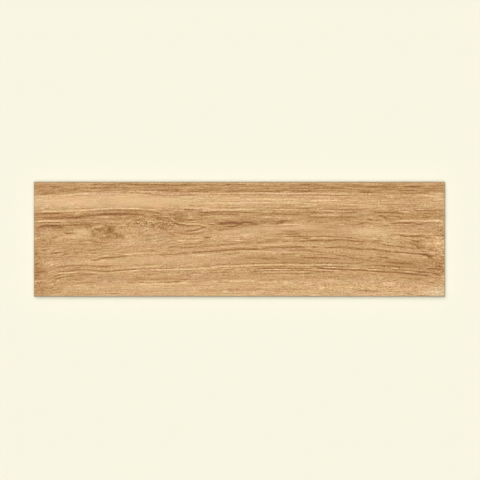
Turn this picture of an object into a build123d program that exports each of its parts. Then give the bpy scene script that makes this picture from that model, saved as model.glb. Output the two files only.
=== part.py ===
"""Porcelain plank tile: one pressed and fired piece, lying on its keyed back with the glazed face up.

The frame has X along the plank, Y across it and Z up from the bed plane, which the keys stand on.
The origin is the middle of that plane.
"""

import os
from math import radians, tan

from build123d import *

# Driving dimensions, in millimetres and degrees

# The plank as it is seen from above
PLANK_LENGTH = 625.0
PLANK_WIDTH = 175.0
CORNER_RADIUS = 1.0

# The section through its edge. The land is the upright band that a neighbour's land faces across
# the joint, and below it the side leans in so that the pressed plank leaves its die.
PLANK_THICKNESS = 9.0
ARRIS_RADIUS = 0.8
LAND_HEIGHT = 3.0
SIDE_DRAFT = 4.0
BACK_CHAMFER = 0.5

# The keys on the back, which the adhesive grips. The wanted pitch is stretched or closed up a
# little in each direction, so that whole keys fill the back between its margins.
KEY_HEIGHT = 0.8
KEY_PITCH_WANTED = 25.0
KEY_GAP = 6.0
KEY_CORNER_RADIUS = 2.5
KEY_DRAFT = 30.0
KEY_MARGIN = 6.0

# Levels and sizes that follow from them
land_bottom = PLANK_THICKNESS - ARRIS_RADIUS - LAND_HEIGHT
skirt_height = land_bottom - KEY_HEIGHT
skirt_inset = skirt_height * tan(radians(SIDE_DRAFT))
back_length = PLANK_LENGTH - 2 * skirt_inset
back_width = PLANK_WIDTH - 2 * skirt_inset


def pressed_down(outline, top, height, lean):
    """A prism under an outline at a level, with sides that lean in towards the bed as it goes down."""
    prism = extrude(Plane.XY.offset(top) * outline, amount=-height)
    sides = prism.faces().sort_by(Axis.Z)[1:-1]
    return draft(sides, Plane.XY.offset(top), -lean)


def pressed_plate():
    """The plate without its keys: an upright land with a rounded arris above, and a drafted skirt below."""
    outline = RectangleRounded(PLANK_LENGTH, PLANK_WIDTH, CORNER_RADIUS)
    land = extrude(Plane.XY.offset(land_bottom) * outline, amount=LAND_HEIGHT + ARRIS_RADIUS)
    plate = land + pressed_down(outline, land_bottom, skirt_height, SIDE_DRAFT)
    plate = fillet(plate.edges().group_by(Axis.Z)[-1], ARRIS_RADIUS)
    return chamfer(plate.edges().group_by(Axis.Z)[0], BACK_CHAMFER)


def key_count_and_pitch(back_size):
    """How many keys fit between the margins of the back in one direction, and their exact pitch."""
    field = back_size - 2 * KEY_MARGIN + KEY_GAP
    count = max(1, round(field / KEY_PITCH_WANTED))
    return count, field / count


def back_keys():
    """The keys, each a low pad with rounded corners and drafted sides, in a centred grid under the plate."""
    columns, pitch_x = key_count_and_pitch(back_length)
    rows, pitch_y = key_count_and_pitch(back_width)
    root = RectangleRounded(pitch_x - KEY_GAP, pitch_y - KEY_GAP, KEY_CORNER_RADIUS)
    key = pressed_down(root, KEY_HEIGHT, KEY_HEIGHT, KEY_DRAFT)
    print(f"keys: {columns} by {rows}, pitch {pitch_x:.2f} by {pitch_y:.2f} mm")
    return [place * key for place in GridLocations(pitch_x, pitch_y, columns, rows)]


plank_tile = pressed_plate() + back_keys()

os.makedirs("parts", exist_ok=True)
export_step(plank_tile, "parts/plank_tile.step")
print(f"plank_tile: {plank_tile.volume / 1000:.1f} cm3, {len(plank_tile.solids())} solid")
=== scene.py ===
# %% [markdown]
# # A wood-look porcelain plank
#
# The real tile is one plank of pressed clay. It is glazed, printed with a wood grain from edge to
# edge, and fired in one piece. The measured solid comes from the frame, and this lesson gives it
# its looks: the grain pressed into the face, the print, the bare fired sides and the keyed back.

# %% Load the measured frame
import math

import bpy
import numpy as np
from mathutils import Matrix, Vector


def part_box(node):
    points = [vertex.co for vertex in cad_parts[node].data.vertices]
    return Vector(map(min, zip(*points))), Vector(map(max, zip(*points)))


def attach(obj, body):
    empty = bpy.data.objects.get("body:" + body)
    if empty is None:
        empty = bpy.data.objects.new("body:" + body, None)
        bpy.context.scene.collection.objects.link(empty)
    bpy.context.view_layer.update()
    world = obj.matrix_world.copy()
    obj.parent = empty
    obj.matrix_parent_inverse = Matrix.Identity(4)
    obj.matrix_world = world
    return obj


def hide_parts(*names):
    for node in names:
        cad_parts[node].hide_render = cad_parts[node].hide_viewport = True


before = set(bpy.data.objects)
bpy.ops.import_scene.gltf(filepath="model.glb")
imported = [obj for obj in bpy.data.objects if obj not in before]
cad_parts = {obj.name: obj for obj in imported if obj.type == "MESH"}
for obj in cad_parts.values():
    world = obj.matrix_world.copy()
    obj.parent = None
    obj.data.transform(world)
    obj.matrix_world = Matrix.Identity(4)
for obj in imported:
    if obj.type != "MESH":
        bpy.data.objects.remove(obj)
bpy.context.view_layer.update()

plank_low, plank_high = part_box("plank_tile")
MM = 0.001
half_length = (plank_high.x - plank_low.x) / 2 / MM
half_width = (plank_high.y - plank_low.y) / 2 / MM
thickness = (plank_high.z - plank_low.z) / MM
print(f"plank: {2 * half_length:.1f} by {2 * half_width:.1f} by {thickness:.1f} mm")

# %% [markdown]
# ## The flow of the grain
#
# Everything on the face follows the grain, so that comes first. A sawn plank shows its year rings
# as long lines that rise to a crest, fall again and part round the knots. One could draw each fibre,
# but it is simpler to bend the plane: a function says which straight fibre passes through a point.
# A pattern laid on straight fibres then bends with them. All lengths here are millimetres, with x
# along the plank and y across it.

# %% The bends of the grain
# The arch: where its crest is, its fall and length on each side, and its middle and spread across
CREST_X = 90.0
ARCH_LEFT = (16.5, 320.0)
ARCH_RIGHT = (14.6, 230.0)
ARCH_MIDDLE, ARCH_SPREAD = -20.0, 38.0
# The fall at the left end: how far and over what reach, and its middle and spread across
LEFT_END_FALL, LEFT_END_REACH = 14.0, 30.0
LEFT_END_MIDDLE, LEFT_END_SPREAD = -50.0, 26.0

# The places that the fibres part round: middle x and y, reach along and across, share pushed aside
PARTINGS = [
    (-170, 14, 75, 24, 0.3),
    (-208, 9, 20, 10, 0.25),
    (218, 33, 14, 8, 0.4),
    (270, -8, 16, 10, 0.4),
]

# Small wavering of every fibre: how far it strays, and the length and width of one bend
WAVER, WAVER_LONG, WAVER_WIDE = 0.55, 36.0, 7.0
# Points of the noise each way, before it repeats
LATTICE = 512


def hump(x, middle, reach):
    """A soft bump of height 1: the bell curve of the distance from its middle, in units of its reach."""
    return np.exp(-((x - middle) / reach) ** 2)


def half_wave(distance, height, length):
    """A rise from 0 to its height over a length, as half a cosine wave, and level after that."""
    return height * (1 - np.cos(np.pi * np.clip(distance / length, 0, 1))) / 2


def soft_noise(u, v, seed):
    """Smooth random hills one unit apart: random heights on a lattice, blended with a smooth step."""
    heights = np.random.default_rng(seed).standard_normal((LATTICE, LATTICE))
    cell_u = np.floor(u).astype(int)
    cell_v = np.floor(v).astype(int)
    part_u = (u - cell_u) ** 2 * (3 - 2 * (u - cell_u))
    part_v = (v - cell_v) ** 2 * (3 - 2 * (v - cell_v))
    near_u, far_u = cell_u % LATTICE, (cell_u + 1) % LATTICE
    near_v, far_v = cell_v % LATTICE, (cell_v + 1) % LATTICE
    low = heights[near_u, near_v] * (1 - part_u) + heights[far_u, near_v] * part_u
    high = heights[near_u, far_v] * (1 - part_u) + heights[far_u, far_v] * part_u
    return low * (1 - part_v) + high * part_v


def fibre_height(x, y):
    """The straight fibre through a point: its height, with arch, end fall, partings and wavering undone."""
    arch = half_wave(CREST_X - x, *ARCH_LEFT) + half_wave(x - CREST_X, *ARCH_RIGHT)
    height = y + arch * hump(y, ARCH_MIDDLE, ARCH_SPREAD)
    end_fall = LEFT_END_FALL * hump(x, -half_length, LEFT_END_REACH)
    height = height + end_fall * hump(y, LEFT_END_MIDDLE, LEFT_END_SPREAD)
    for middle_x, middle_y, along, across, share in PARTINGS:
        height = height - share * (y - middle_y) * hump(x, middle_x, along) * hump(y, middle_y, across)
    return height + WAVER * soft_noise(x / WAVER_LONG, y / WAVER_WIDE, seed=7)


print(f"the line at the crest drops {ARCH_LEFT[0]} mm to the left and {ARCH_RIGHT[0]} mm to the right")

# %% [markdown]
# ## Broad bands
#
# Sapwood and heartwood make wide light and dark bands along the plank. A picture could be pasted on,
# but a drawn figure stays sharp at any size and can be changed. The bands are a list of heights, with
# straight steps between. Tones are grey steps, out of 255, lighter or darker than the middle tone.

# %% Bands across the plank
# Height across the plank, tone, and how lively the fibres are there
BANDS = [
    (87.5, -8, 1.2), (83, -10.5, 1.2), (80, -11.5, 1.2), (74, -14, 1.2), (71, -5.5, 1.1), (69, 3, 1.0),
    (67.3, -1, 0.9), (65.5, 9, 0.9), (63, 12, 0.9), (60, 18, 0.8), (54, 16, 0.8), (48, 5, 0.9),
    (43, -2, 1.0), (40.5, -7.5, 1.0), (38, -7.5, 1.0), (31, -8.5, 1.0), (29.4, -8, 1.0),
    (27, -2.5, 1.0), (24.5, -10, 1.0), (20, -4, 1.0), (16, 0, 0.9), (13, -1.5, 0.9), (0, 0, 0.9),
    (-4, -2.5, 0.9), (-6, 0, 0.9), (-8.6, -3, 0.9), (-14, 0, 0.9), (-25, 0, 0.8), (-31, -2, 0.7),
    (-34, 0, 0.7), (-37, 2.5, 0.8), (-40, 0, 0.9), (-44, -2, 0.9), (-47, 1, 0.9), (-55, -2, 0.9),
    (-59, -1.5, 1.0), (-61.5, -0.5, 1.0), (-64, 4.5, 1.1), (-67, 6.5, 1.1), (-74, 10, 1.0),
    (-78, 6, 1.0), (-81.5, 11.5, 1.0), (-83, 6.5, 1.0), (-84.5, 12, 1.0), (-87.5, 11, 1.0),
]


def band_value(y, column):
    """One column of the bands at a height: straight between the listed heights."""
    heights = np.array([band[0] for band in BANDS[::-1]])
    values = np.array([band[column] for band in BANDS[::-1]])
    return np.interp(y, heights, values)


print(f"{len(BANDS)} heights of the bands")

# %% [markdown]
# ## Soft patches
#
# No band is even from end to end: the wood darkens near a knot and pales where it is cut flat. Each
# such change is one soft patch, longer along the grain than across it, laid over the bands.

# %% Patches on the bands
# Middle x and y, reach along and across, tone
PATCHES = [
    # The dark top and the pale band
    (-295, 48, 20, 5, 6), (-290, 70, 24, 3.5, -13), (-287, 44.5, 20, 3, -15), (-250, 57, 100, 11, 6),
    (-225, 44, 16, 3, -8), (-215, 66.5, 26, 4, 9), (-205, 57, 14, 6, -9), (-185, 44, 34, 3, -8),
    (-172, 47.5, 18, 2, -9), (-172, 71, 40, 5, 7), (-160, 66, 24, 3, 6), (-145, 74, 20, 4, 6),
    (-125, 62, 40, 3, 4), (-115, 49, 18, 3, 6), (-110, 41, 14, 2, -8), (-85, 42, 18, 3, 8),
    (-75, 43, 22, 3, -7), (20, 50.5, 16, 2, -8), (75, 50, 26, 3, -6), (110, 53, 24, 4, 5),
    (125, 72.5, 40, 2.5, -5), (145, 62, 16, 2.5, -7), (200, 56, 130, 10, -10), (222, 45, 14, 3, 7),
    (222, 71, 14, 2, -9), (250, 61.5, 45, 3, -12), (275, 58, 28, 3, -8), (285, 52, 20, 3, -8),
    (300, 62, 12, 3, 7), (304, 66, 14, 5, 10), (305, 48, 12, 5, 7),
    # The flame and the knot
    (-310, 33, 10, 3, -5), (-308, 36, 10, 3, -9), (-306, 2.5, 8, 2, 6), (-305, 18, 10, 6, -8),
    (-300, 20, 12, 2.5, 9), (-288, 17, 24, 3.2, -19), (-285, 30, 16, 3, 6), (-270, 34, 34, 4, -8),
    (-268, 18, 16, 2.5, -8), (-256, 4.4, 22, 3, 16), (-250, -14, 45, 10, -4), (-248, 20.5, 24, 6, -12),
    (-243, 34, 22, 4, -5), (-240, 12, 13, 5, 23), (-238, 22, 18, 5, -6), (-225, 29, 14, 3, -7),
    (-222, 7, 3.5, 5.5, -20), (-215, -2, 34, 2.5, -6), (-213, 15, 9, 2.5, -14), (-212, -5, 10, 6, -6),
    (-208, 9, 11, 6, -14), (-205, -11, 14, 3, -7), (-205, 6.4, 4.5, 2, 9), (-203, 17, 10, 3.5, -11),
    (-196, 14, 6.5, 4.5, -45), (-196, 4, 6, 4, -14), (-194, 2, 9, 3, -8), (-188, -2, 12, 2.5, -5),
    (-185, 38, 34, 3, -8), (-185, 5.5, 9, 4.5, -16), (-168, -5, 24, 7, 13), (-165, 39, 14, 2.5, 8),
    (-150, 14, 26, 4, 9), (-125, 33, 6, 3.5, -20), (-120, -1, 16, 4, 5), (-112, 24, 14, 8, -8),
    (-111, 20, 16, 2.5, -17), (-92, 34, 9, 7, -16), (-85, 29, 36, 4.5, -9), (-75, -5, 14, 2.5, 10),
    (-75, 12, 18, 3, -14), (-75, 25, 14, 3, -8), (-74, 33.6, 4, 2.2, 14), (-62, 5, 16, 4, 5),
    (-55, -5, 20, 3, -6), (-50, 21, 4, 5, 12), (-45, 6, 30, 2, 6),
    # From the lens to the right-hand end
    (-28, 8, 20, 2, 7), (-25, 37, 28, 3, 9), (-20, 16, 24, 2.5, -6), (-16, 18.5, 15, 3.5, -15),
    (-14, 25, 20, 3.5, -13), (5, 12, 32, 5, 10), (14, 25, 24, 4, -11), (14, 4, 13, 3.5, 14),
    (25, 39, 30, 2, -9), (45, 17, 30, 4, 8), (60, 10, 20, 5, 5), (60, 33, 36, 3.5, 9),
    (65, 27.5, 6, 3, -14), (75, 16, 18, 6, 9), (80, 9.5, 17, 4, -12), (100, -1, 22, 3, -5),
    (100, -8, 26, 2.5, 9), (104, 20, 17, 4.5, 16), (108, 14, 16, 4, 5), (112, -12, 16, 2, -8),
    (148, 30, 19, 2.2, -10), (160, 4, 18, 4, 6), (165, -4, 15, 3, -6), (165, 39, 22, 4.5, 9),
    (178, 33, 20, 4, 6), (195, 12, 28, 5, 26), (210, 23, 22, 2.5, 8), (216, 6, 17, 2.5, 8),
    (225, 29, 13, 3, 13), (225, 34, 24, 4, -8), (226, 39, 14, 4, 7), (231, 4.5, 18, 2.5, 9),
    (240, 2.5, 20, 2, 9), (257, 34, 12, 3, -9), (262, -9, 14, 6, -12), (266, -13, 12, 4, -6),
    (283, 4, 14, 2.5, -17), (286, 36, 28, 6, -8), (300, 27.5, 16, 2.5, 6), (302, -5, 13, 6, 20),
    (302, 28, 14, 2.5, 9), (306, 13, 5, 4, -14),
    # The lower half, left of the middle
    (-312, -25, 16, 22, -12), (-306, -60, 10, 20, -8), (-303, -46, 14, 9, -7),
    (-303, -49.5, 10, 3, -12), (-302, -73, 15, 13, -16), (-299, -62.5, 8, 2.2, 8),
    (-298, -83, 18, 5, -11), (-286, -37, 8, 4, 10), (-280, -28, 16, 4, -6), (-280, -75, 22, 4, -9),
    (-275, -70, 16, 3, -8), (-260, -66, 14, 3, -9), (-250, -57, 16, 2.5, 7), (-240, -83, 34, 3, -8),
    (-235, -83, 26, 3, -7), (-228, -31, 14, 2.5, 8), (-225, -66, 13, 3, -10), (-220, -34, 45, 4, 11),
    (-195, -62, 16, 2.5, -8), (-170, -46.5, 18, 3, 14), (-168, -43.5, 16, 2.5, 9),
    (-138, -47.5, 14, 3, 8), (-120, -31, 80, 5, 12), (-100, -25, 26, 2.5, 7), (-68, -42, 26, 2.5, 10),
    (-40, -25.5, 40, 3, 8),
    # The lower half, right of the middle
    (40, -16, 36, 2.5, -7), (78, -25.5, 14, 3, -7), (80, -86, 36, 2, -7), (85, -32, 60, 5, -12),
    (115, -43, 24, 3, -4), (130, -65, 38, 3, 9), (138, -41.5, 16, 2, -9), (150, -24, 18, 3, -8),
    (150, -55, 45, 3, -6), (225, -86, 35, 2.5, 7), (250, -19.5, 16, 2, 8), (250, -36, 50, 6, -18),
    (250, -57, 15, 3, 8), (260, -42, 19, 2.2, -9), (262, -60, 22, 5, -12), (265, -28, 19, 3, 7),
    (290, -46, 26, 10, -12), (295, -68, 13, 5, -8), (299, -80, 18, 6, 30), (300, -35, 16, 3, -8),
    (302, -33, 14, 5, -8), (305, -80, 12, 5, 6), (310, -48, 14, 5, -8),
]


def broad_tone(x, y):
    """The tone of the bands, plus each patch as a hump along times a hump across."""
    tone = band_value(y, 1)
    for middle_x, middle_y, along, across, step in PATCHES:
        tone = tone + step * hump(x, middle_x, along) * hump(y, middle_y, across)
    return tone


print(f"{len(PATCHES)} patches")

# %% [markdown]
# ## Lively and quiet places
#
# Fine fibres and flecks show strongly in some places and hardly at all in others. A second list of
# patches says where, so that pale wood stays calm and the ends look rough.

# %% Where fibres and flecks show
# Middle x and y, reach along and across, and how much livelier fibres and flecks are there
LIVELY_PATCHES = [
    (-200, 58, 130, 8, -0.5, -0.4), (-120, 56, 60, 6, -0.3, -0.2), (-140, 71, 26, 5, 0.6, 0.2),
    (-60, 63, 26, 5, 0.6, 0.2), (25, 67, 42, 5, 0.6, 0.1), (85, 51, 20, 5, 0.5, 0.0),
    (-90, 45, 40, 5, 0.5, 0.2), (250, 48, 50, 6, 0.5, 0.3), (-205, 33, 40, 4, -0.4, 0.0),
    (-165, 12, 32, 22, -0.5, -0.1), (-240, 9, 18, 8, -0.5, -0.4), (-130, 26, 45, 12, 0.0, 0.7),
    (-205, 9, 22, 11, -0.5, 0.1), (35, 13, 60, 7, -0.5, -0.4), (125, 17, 45, 8, -0.5, -0.3),
    (200, 12, 60, 5, -0.5, -0.2), (-60, 2, 28, 5, 0.6, 0.0), (205, 2, 18, 4, 0.4, 0.0),
    (-115, -22, 24, 4, 0.6, 0.0), (-270, -22, 26, 5, 0.4, 0.2), (40, -27, 38, 6, -0.5, -0.2),
    (-120, -33, 70, 4, -0.3, -0.2), (285, -28, 32, 12, 0.6, 0.2), (0, -44, 330, 6, 0.0, 0.35),
    (20, -56, 32, 4, -0.3, 0.0), (130, -61, 42, 5, -0.4, 0.0), (-190, -70, 22, 5, -0.3, -0.2),
    (-100, -79, 42, 6, -0.5, -0.3), (220, -67, 22, 5, 0.4, 0.4), (315, -30, 22, 70, 0.2, 0.9),
    (-305, -65, 30, 25, 0.2, 0.6), (210, -74, 110, 12, 0.0, 0.5),
]
# How strongly flecks show outside these patches
FLECKS_EVERYWHERE = 0.72


def liveliness(x, y):
    """How strongly fibres and flecks show: the value all over, plus each patch as a hump times a hump."""
    fibres, flecks = band_value(y, 2), np.full_like(x, FLECKS_EVERYWHERE)
    for middle_x, middle_y, along, across, more_fibres, more_flecks in LIVELY_PATCHES:
        patch = hump(x, middle_x, along) * hump(y, middle_y, across)
        fibres = fibres + more_fibres * patch
        flecks = flecks + more_flecks * patch
    return fibres, flecks


print(f"{len(LIVELY_PATCHES)} lively or quiet places")

# %% [markdown]
# ## Drawn lines
#
# The lines that give this plank its face are drawn one by one, as a printer's artist would: the
# streaks at the top, the pale band, the knot with its loop, the dark lens, the long arched line and
# the arcs under it. Each is a tone, half its thickness, and the few points that it passes through.

# %% Lines of the top and the pale band
TOP_STREAKS = [
    (-20, 0.6, (-311, 87), (311, 87)),
    (12, 0.7, (-311, 85.4), (311, 85.4)),
    (-30, 1.0, (-255, 86.5), (-249, 86.5)),
    (-22, 1.1, (-231, 81.3), (-221, 83), (-199, 83.3), (-180, 84.3), (-165, 83.6), (-130, 83),
     (-100, 82), (-80, 82.5), (-58, 82.1)),
    (-22, 1.1, (-56, 82.8), (-33, 82.8)),
    (-30, 1.2, (-22, 83), (-12, 83)),
    (-22, 1.1, (-5, 83), (11, 83.3)),
    (-28, 1.1, (59, 83.3), (70, 83.3)),
    (-18, 1.1, (70, 83), (111, 83)),
    (-26, 1.1, (112, 83.5), (120, 82.3), (136, 80.6)),
    (-18, 1.2, (150, 81.3), (190, 81)),
    (-22, 1.3, (190, 79.6), (245, 79.5)),
    (-34, 1.3, (245, 80.2), (284, 80)),
    (-18, 1.1, (284, 80), (302, 80)),
    (-20, 1.0, (-287, 80.3), (-267, 79.6)),
    (-20, 1.2, (-227, 77.4), (-215, 77.4)),
    (-20, 1.1, (-208, 79), (-198, 78.8), (-179, 78)),
    (-18, 1.0, (-258, 76), (-243, 76)),
    (-18, 1.0, (-277, 74.3), (-262, 74.3)),
    (-18, 1.0, (-311, 73), (-295, 73)),
    (-20, 1.2, (-130, 74.4), (-113, 74.6)),
    (-28, 1.4, (-100, 74.3), (-89, 74.3)),
    (-14, 1.0, (-80, 75), (-48, 75)),
    (-18, 1.2, (-82, 73), (-43, 73)),
    (-24, 1.1, (-27, 73.2), (0, 73), (45, 72.9), (72, 73)),
    (-22, 1.2, (74, 73), (112, 73)),
    (-26, 1.0, (38, 77.3), (46, 77.3)),
    (-16, 1.0, (69, 77.5), (110, 77.5)),
    (-28, 1.0, (109, 77.5), (124, 77.5)),
    (-14, 1.5, (123, 78.5), (165, 78.3)),
    (-16, 1.0, (159, 71.6), (173, 71.5)),
    (-34, 1.1, (178, 71.5), (208, 71.8)),
    (-24, 0.9, (235, 74.4), (272, 74.5)),
    (-24, 0.9, (278, 74), (302, 74)),
    (-30, 1.0, (241, 70.2), (292, 70)),
]

TOP_DASHES = [
    (-22, 0.9, (-209, 78.8), (-198, 78.7)),
    (-18, 0.9, (-225, 83.2), (-212, 83.4)),
    (18, 0.8, (-208, 84.8), (-199, 84.8)),
    (18, 0.8, (-170, 72.7), (-157, 72.7)),
    (-18, 0.8, (-170, 71), (-158, 70.8)),
    (-26, 0.9, (-240, 47), (-234, 46.9)),
    (-18, 0.8, (-143, 69.9), (-132, 69.8)),
    (-16, 0.8, (-127, 66.5), (-115, 66.8), (-103, 66.7)),
    (-16, 0.9, (-86, 67), (-74, 66.8), (-60, 66.8)),
    (-18, 1.2, (-88, 82.6), (-79, 82.8)),
    (-18, 1.0, (-72, 81.8), (-64, 81.3)),
    (-18, 1.0, (3, 83.4), (11, 83.2)),
    (-20, 0.8, (-77, 51.4), (-69, 51.6)),
    (-16, 0.8, (-89, 45.4), (-76, 45.4), (-64, 45.3)),
]

PALE_BAND = [
    (-30, 0.9, (-305, 68.3), (-288, 68.3)),
    (22, 1.1, (-308, 64.8), (-290, 66.8), (-262, 66.8), (-246, 69), (-220, 70.6)),
    (16, 1.0, (-172, 72.4), (-111, 72.2)),
    (-26, 0.8, (-171, 70.9), (-156, 70.4), (-129, 69.7)),
    (14, 0.9, (-171, 68.2), (-129, 68)),
    (14, 0.8, (-190, 65.4), (-167, 65.2)),
    (-12, 0.8, (-111, 66.9), (-79, 66.9)),
    (20, 1.0, (-79, 70), (-20, 70), (60, 69.8), (110, 69.7), (179, 69)),
    (-18, 0.7, (-40, 68.3), (51, 68.2)),
    (-16, 0.7, (67, 68.3), (78, 67), (101, 68)),
    (-22, 0.8, (108, 67.8), (120, 67), (177, 66.8)),
    (12, 0.9, (109, 65.5), (141, 65.3)),
    (10, 1.0, (-6, 61), (91, 61)),
    (18, 1.2, (105, 59), (153, 59)),
    (-16, 0.7, (-67, 57.7), (56, 57.8)),
    (-14, 0.7, (87, 56.4), (125, 56)),
    (10, 0.9, (-53, 55.7), (49, 55.4)),
    (16, 0.9, (91, 54.6), (113, 54.6)),
    (-16, 0.9, (-81, 51.7), (-67, 51.7)),
    (-14, 1.1, (7, 52.5), (113, 52.4)),
    (-16, 0.8, (112, 51.6), (165, 51.3)),
    (16, 0.9, (89, 49.6), (113, 49.5)),
    (-10, 0.8, (-182, 48.8), (-156, 48.8)),
    (24, 0.9, (194, 68.6), (201, 68.4)),
    (16, 0.8, (203, 69), (210, 68.8)),
    (-16, 0.8, (158, 63.6), (170, 63.4)),
    (-20, 0.8, (202, 65.4), (229, 64.6)),
    (16, 1.0, (244, 65.3), (262, 67.8), (302, 65)),
    (12, 0.8, (212, 66.8), (250, 66)),
    (14, 1.0, (148, 52.6), (196, 52.6)),
    (-14, 0.8, (168, 55), (197, 54.6)),
    (-18, 0.8, (213, 53), (244, 52.8)),
    (-18, 0.8, (244, 52), (276, 51.5)),
    (-14, 0.7, (228, 49), (262, 49)),
]

print(f"{len(TOP_STREAKS + TOP_DASHES + PALE_BAND)} lines of the top and the pale band")

# %% The edge of the flame, and the streaks at its left
FLAME_EDGE = [
    (30, 1.2, (-308, 41.4), (-295, 42.5), (-270, 42.8), (-250, 43.8), (-228, 44.6), (-210, 45.8),
     (-190, 47), (-165, 46.9), (-148, 46.4)),
    (20, 1.0, (-141, 44), (-134, 44.6), (-127, 43.8), (-118, 41)),
    (20, 1.3, (-110, 36), (-105, 33), (-101, 29.4), (-96, 26.6)),
    (34, 1.1, (-98, 27), (-91, 25), (-80, 23.4), (-66, 23.2), (-56, 21), (-50, 19.4)),
    (-22, 1.2, (-236, 42), (-210, 43.6), (-190, 44.2), (-165, 44), (-150, 43.6), (-138, 42.4),
     (-128, 40.6), (-118, 38.8)),
    (-18, 1.2, (-129, 41), (-124, 39.9), (-117, 38.6)),
    (-32, 1.4, (-306, 39), (-295, 39.3), (-280, 39.6), (-265, 39.6)),
    (14, 1.0, (-254, 39), (-240, 39.4), (-233, 39.2)),
    (-24, 2.0, (-303, 31.6), (-285, 32.2), (-268, 33), (-250, 33.2), (-236, 34.8), (-222, 36.2),
     (-210, 37.6), (-190, 38.4), (-172, 38.5), (-156, 37.8), (-140, 36.8)),
    (-14, 1.8, (-216, 37.6), (-190, 38.4), (-170, 38.5), (-150, 38)),
    (-8, 2.0, (-254, 33.2), (-244, 33.8), (-234, 35)),
    (22, 1.3, (-220, 33.8), (-205, 34.2), (-192, 34.6)),
    (-16, 1.2, (-190, 31.8), (-170, 32.2), (-160, 34.6), (-150, 33.2)),
    (14, 1.0, (-154, 35), (-146, 34.6)),
    (-40, 1.2, (-105, 28), (-100, 25.5), (-96, 23.8), (-92, 22.4), (-86, 21.6), (-76, 20.6), (-67, 20.4)),
    (-26, 1.3, (-101, 38.4), (-96, 36.8)),
    (-30, 1.2, (-81, 29), (-73, 29.3), (-65, 29)),
    (24, 0.9, (-76, 27.4), (-68, 27.2), (-61, 28.4)),
    (-22, 0.8, (-73, 25.6), (-65, 25.6)),
    (-42, 1.1, (-69, 22.8), (-61, 21.2), (-56, 19.2), (-52, 18), (-47, 17.2)),
    (-24, 1.2, (-86, 12.4), (-78, 12.8), (-70, 13.4), (-62, 15.4), (-57, 17.2), (-52, 18.4), (-47, 19)),
    (-16, 1.0, (-67, 14.4), (-59, 16.4), (-52, 18.4)),
    (28, 1.2, (-73, 10.8), (-64, 12.4), (-58, 14), (-51, 16.2)),
    (-34, 1.1, (-96, 9.6), (-86, 8.8), (-79, 7.9), (-70, 8.3), (-62, 9.1), (-50, 11)),
    (-18, 1.2, (-112, 8.4), (-104, 7.8), (-95, 5.8)),
    (-12, 1.1, (-158, 7), (-146, 10.2), (-140, 7), (-133, 5.6)),
    (-12, 1.1, (-163, 14), (-155, 13.6), (-148, 12.6)),
    (18, 1.0, (-130, 4.2), (-124, 4)),
    (16, 1.0, (-92, 3.8), (-80, 3.8)),
]

LEFT_STREAKS = [
    (22, 1.0, (-305, 46.8), (-294, 47)),
    (12, 1.0, (-254, 48.4), (-238, 48.4)),
    (30, 1.1, (-311, 26.6), (-300, 27.5), (-280, 27.6), (-268, 27.8), (-260, 29)),
    (10, 1.2, (-262, 29), (-240, 29.8), (-218, 30)),
    (-24, 0.9, (-308, 24.2), (-300, 25.4), (-285, 25.4), (-266, 25.6)),
    (-12, 1.2, (-268, 25.6), (-248, 25.4), (-226, 25.2)),
    (10, 1.0, (-300, 23), (-285, 23.2), (-268, 23.2)),
    (-46, 1.6, (-309, 20), (-300, 19.8), (-290, 20.8), (-280, 20.6), (-272, 20), (-265, 18.6)),
    (-20, 1.5, (-312, 15.6), (-302, 15.6)),
    (-14, 1.2, (-258, 22.4), (-242, 21.2)),
    (-26, 1.3, (-232, 22.6), (-227, 20.8), (-223, 19.4)),
    (-36, 1.5, (-270, 9.8), (-262, 9.3), (-247, 9.2)),
    (-16, 1.6, (-292, -1.8), (-284, 1.5), (-278, 4), (-268, 5.8)),
    (-16, 2.0, (-291, -3.4), (-284, -3.8)),
    (16, 1.3, (-312, 2.6), (-301, 2.6)),
    (-14, 0.8, (-312, 4.6), (-299, 4.6)),
    (-22, 1.2, (-301, -1.4), (-293, -2.2)),
    (-18, 1.1, (-304, -6.2), (-296, -6.4)),
    (-18, 1.6, (-301, -11.4), (-290, -11)),
    (-26, 1.2, (-305, -17.6), (-296, -16.6), (-286, -15)),
    (-36, 1.2, (-287, -19.6), (-280, -20.8), (-275, -20), (-267, -19.7)),
    (20, 1.0, (-275, -21.2), (-267, -22)),
    (14, 1.0, (-285, -22.8), (-278, -23.2)),
    (-34, 1.5, (-313, -22.4), (-304, -22)),
    (-22, 1.1, (-276, -22.6), (-270, -24), (-265, -23), (-254, -22)),
    (-18, 1.0, (-252, -22.8), (-243, -22.6)),
    (-12, 1.1, (-270, -18.8), (-256, -17.8), (-245, -18.8), (-231, -20)),
    (-18, 1.2, (-268, -28), (-261, -27.6), (-254, -26), (-243, -27.6)),
    (-20, 1.1, (-229, -21.2), (-214, -21)),
    (-14, 1.3, (-237, -16.6), (-224, -16.8), (-212, -15), (-201, -12.6)),
    (12, 1.1, (-230, -23), (-213, -23.4)),
]

print(f"{len(FLAME_EDGE + LEFT_STREAKS)} lines of the flame's edge and at its left")

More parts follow.
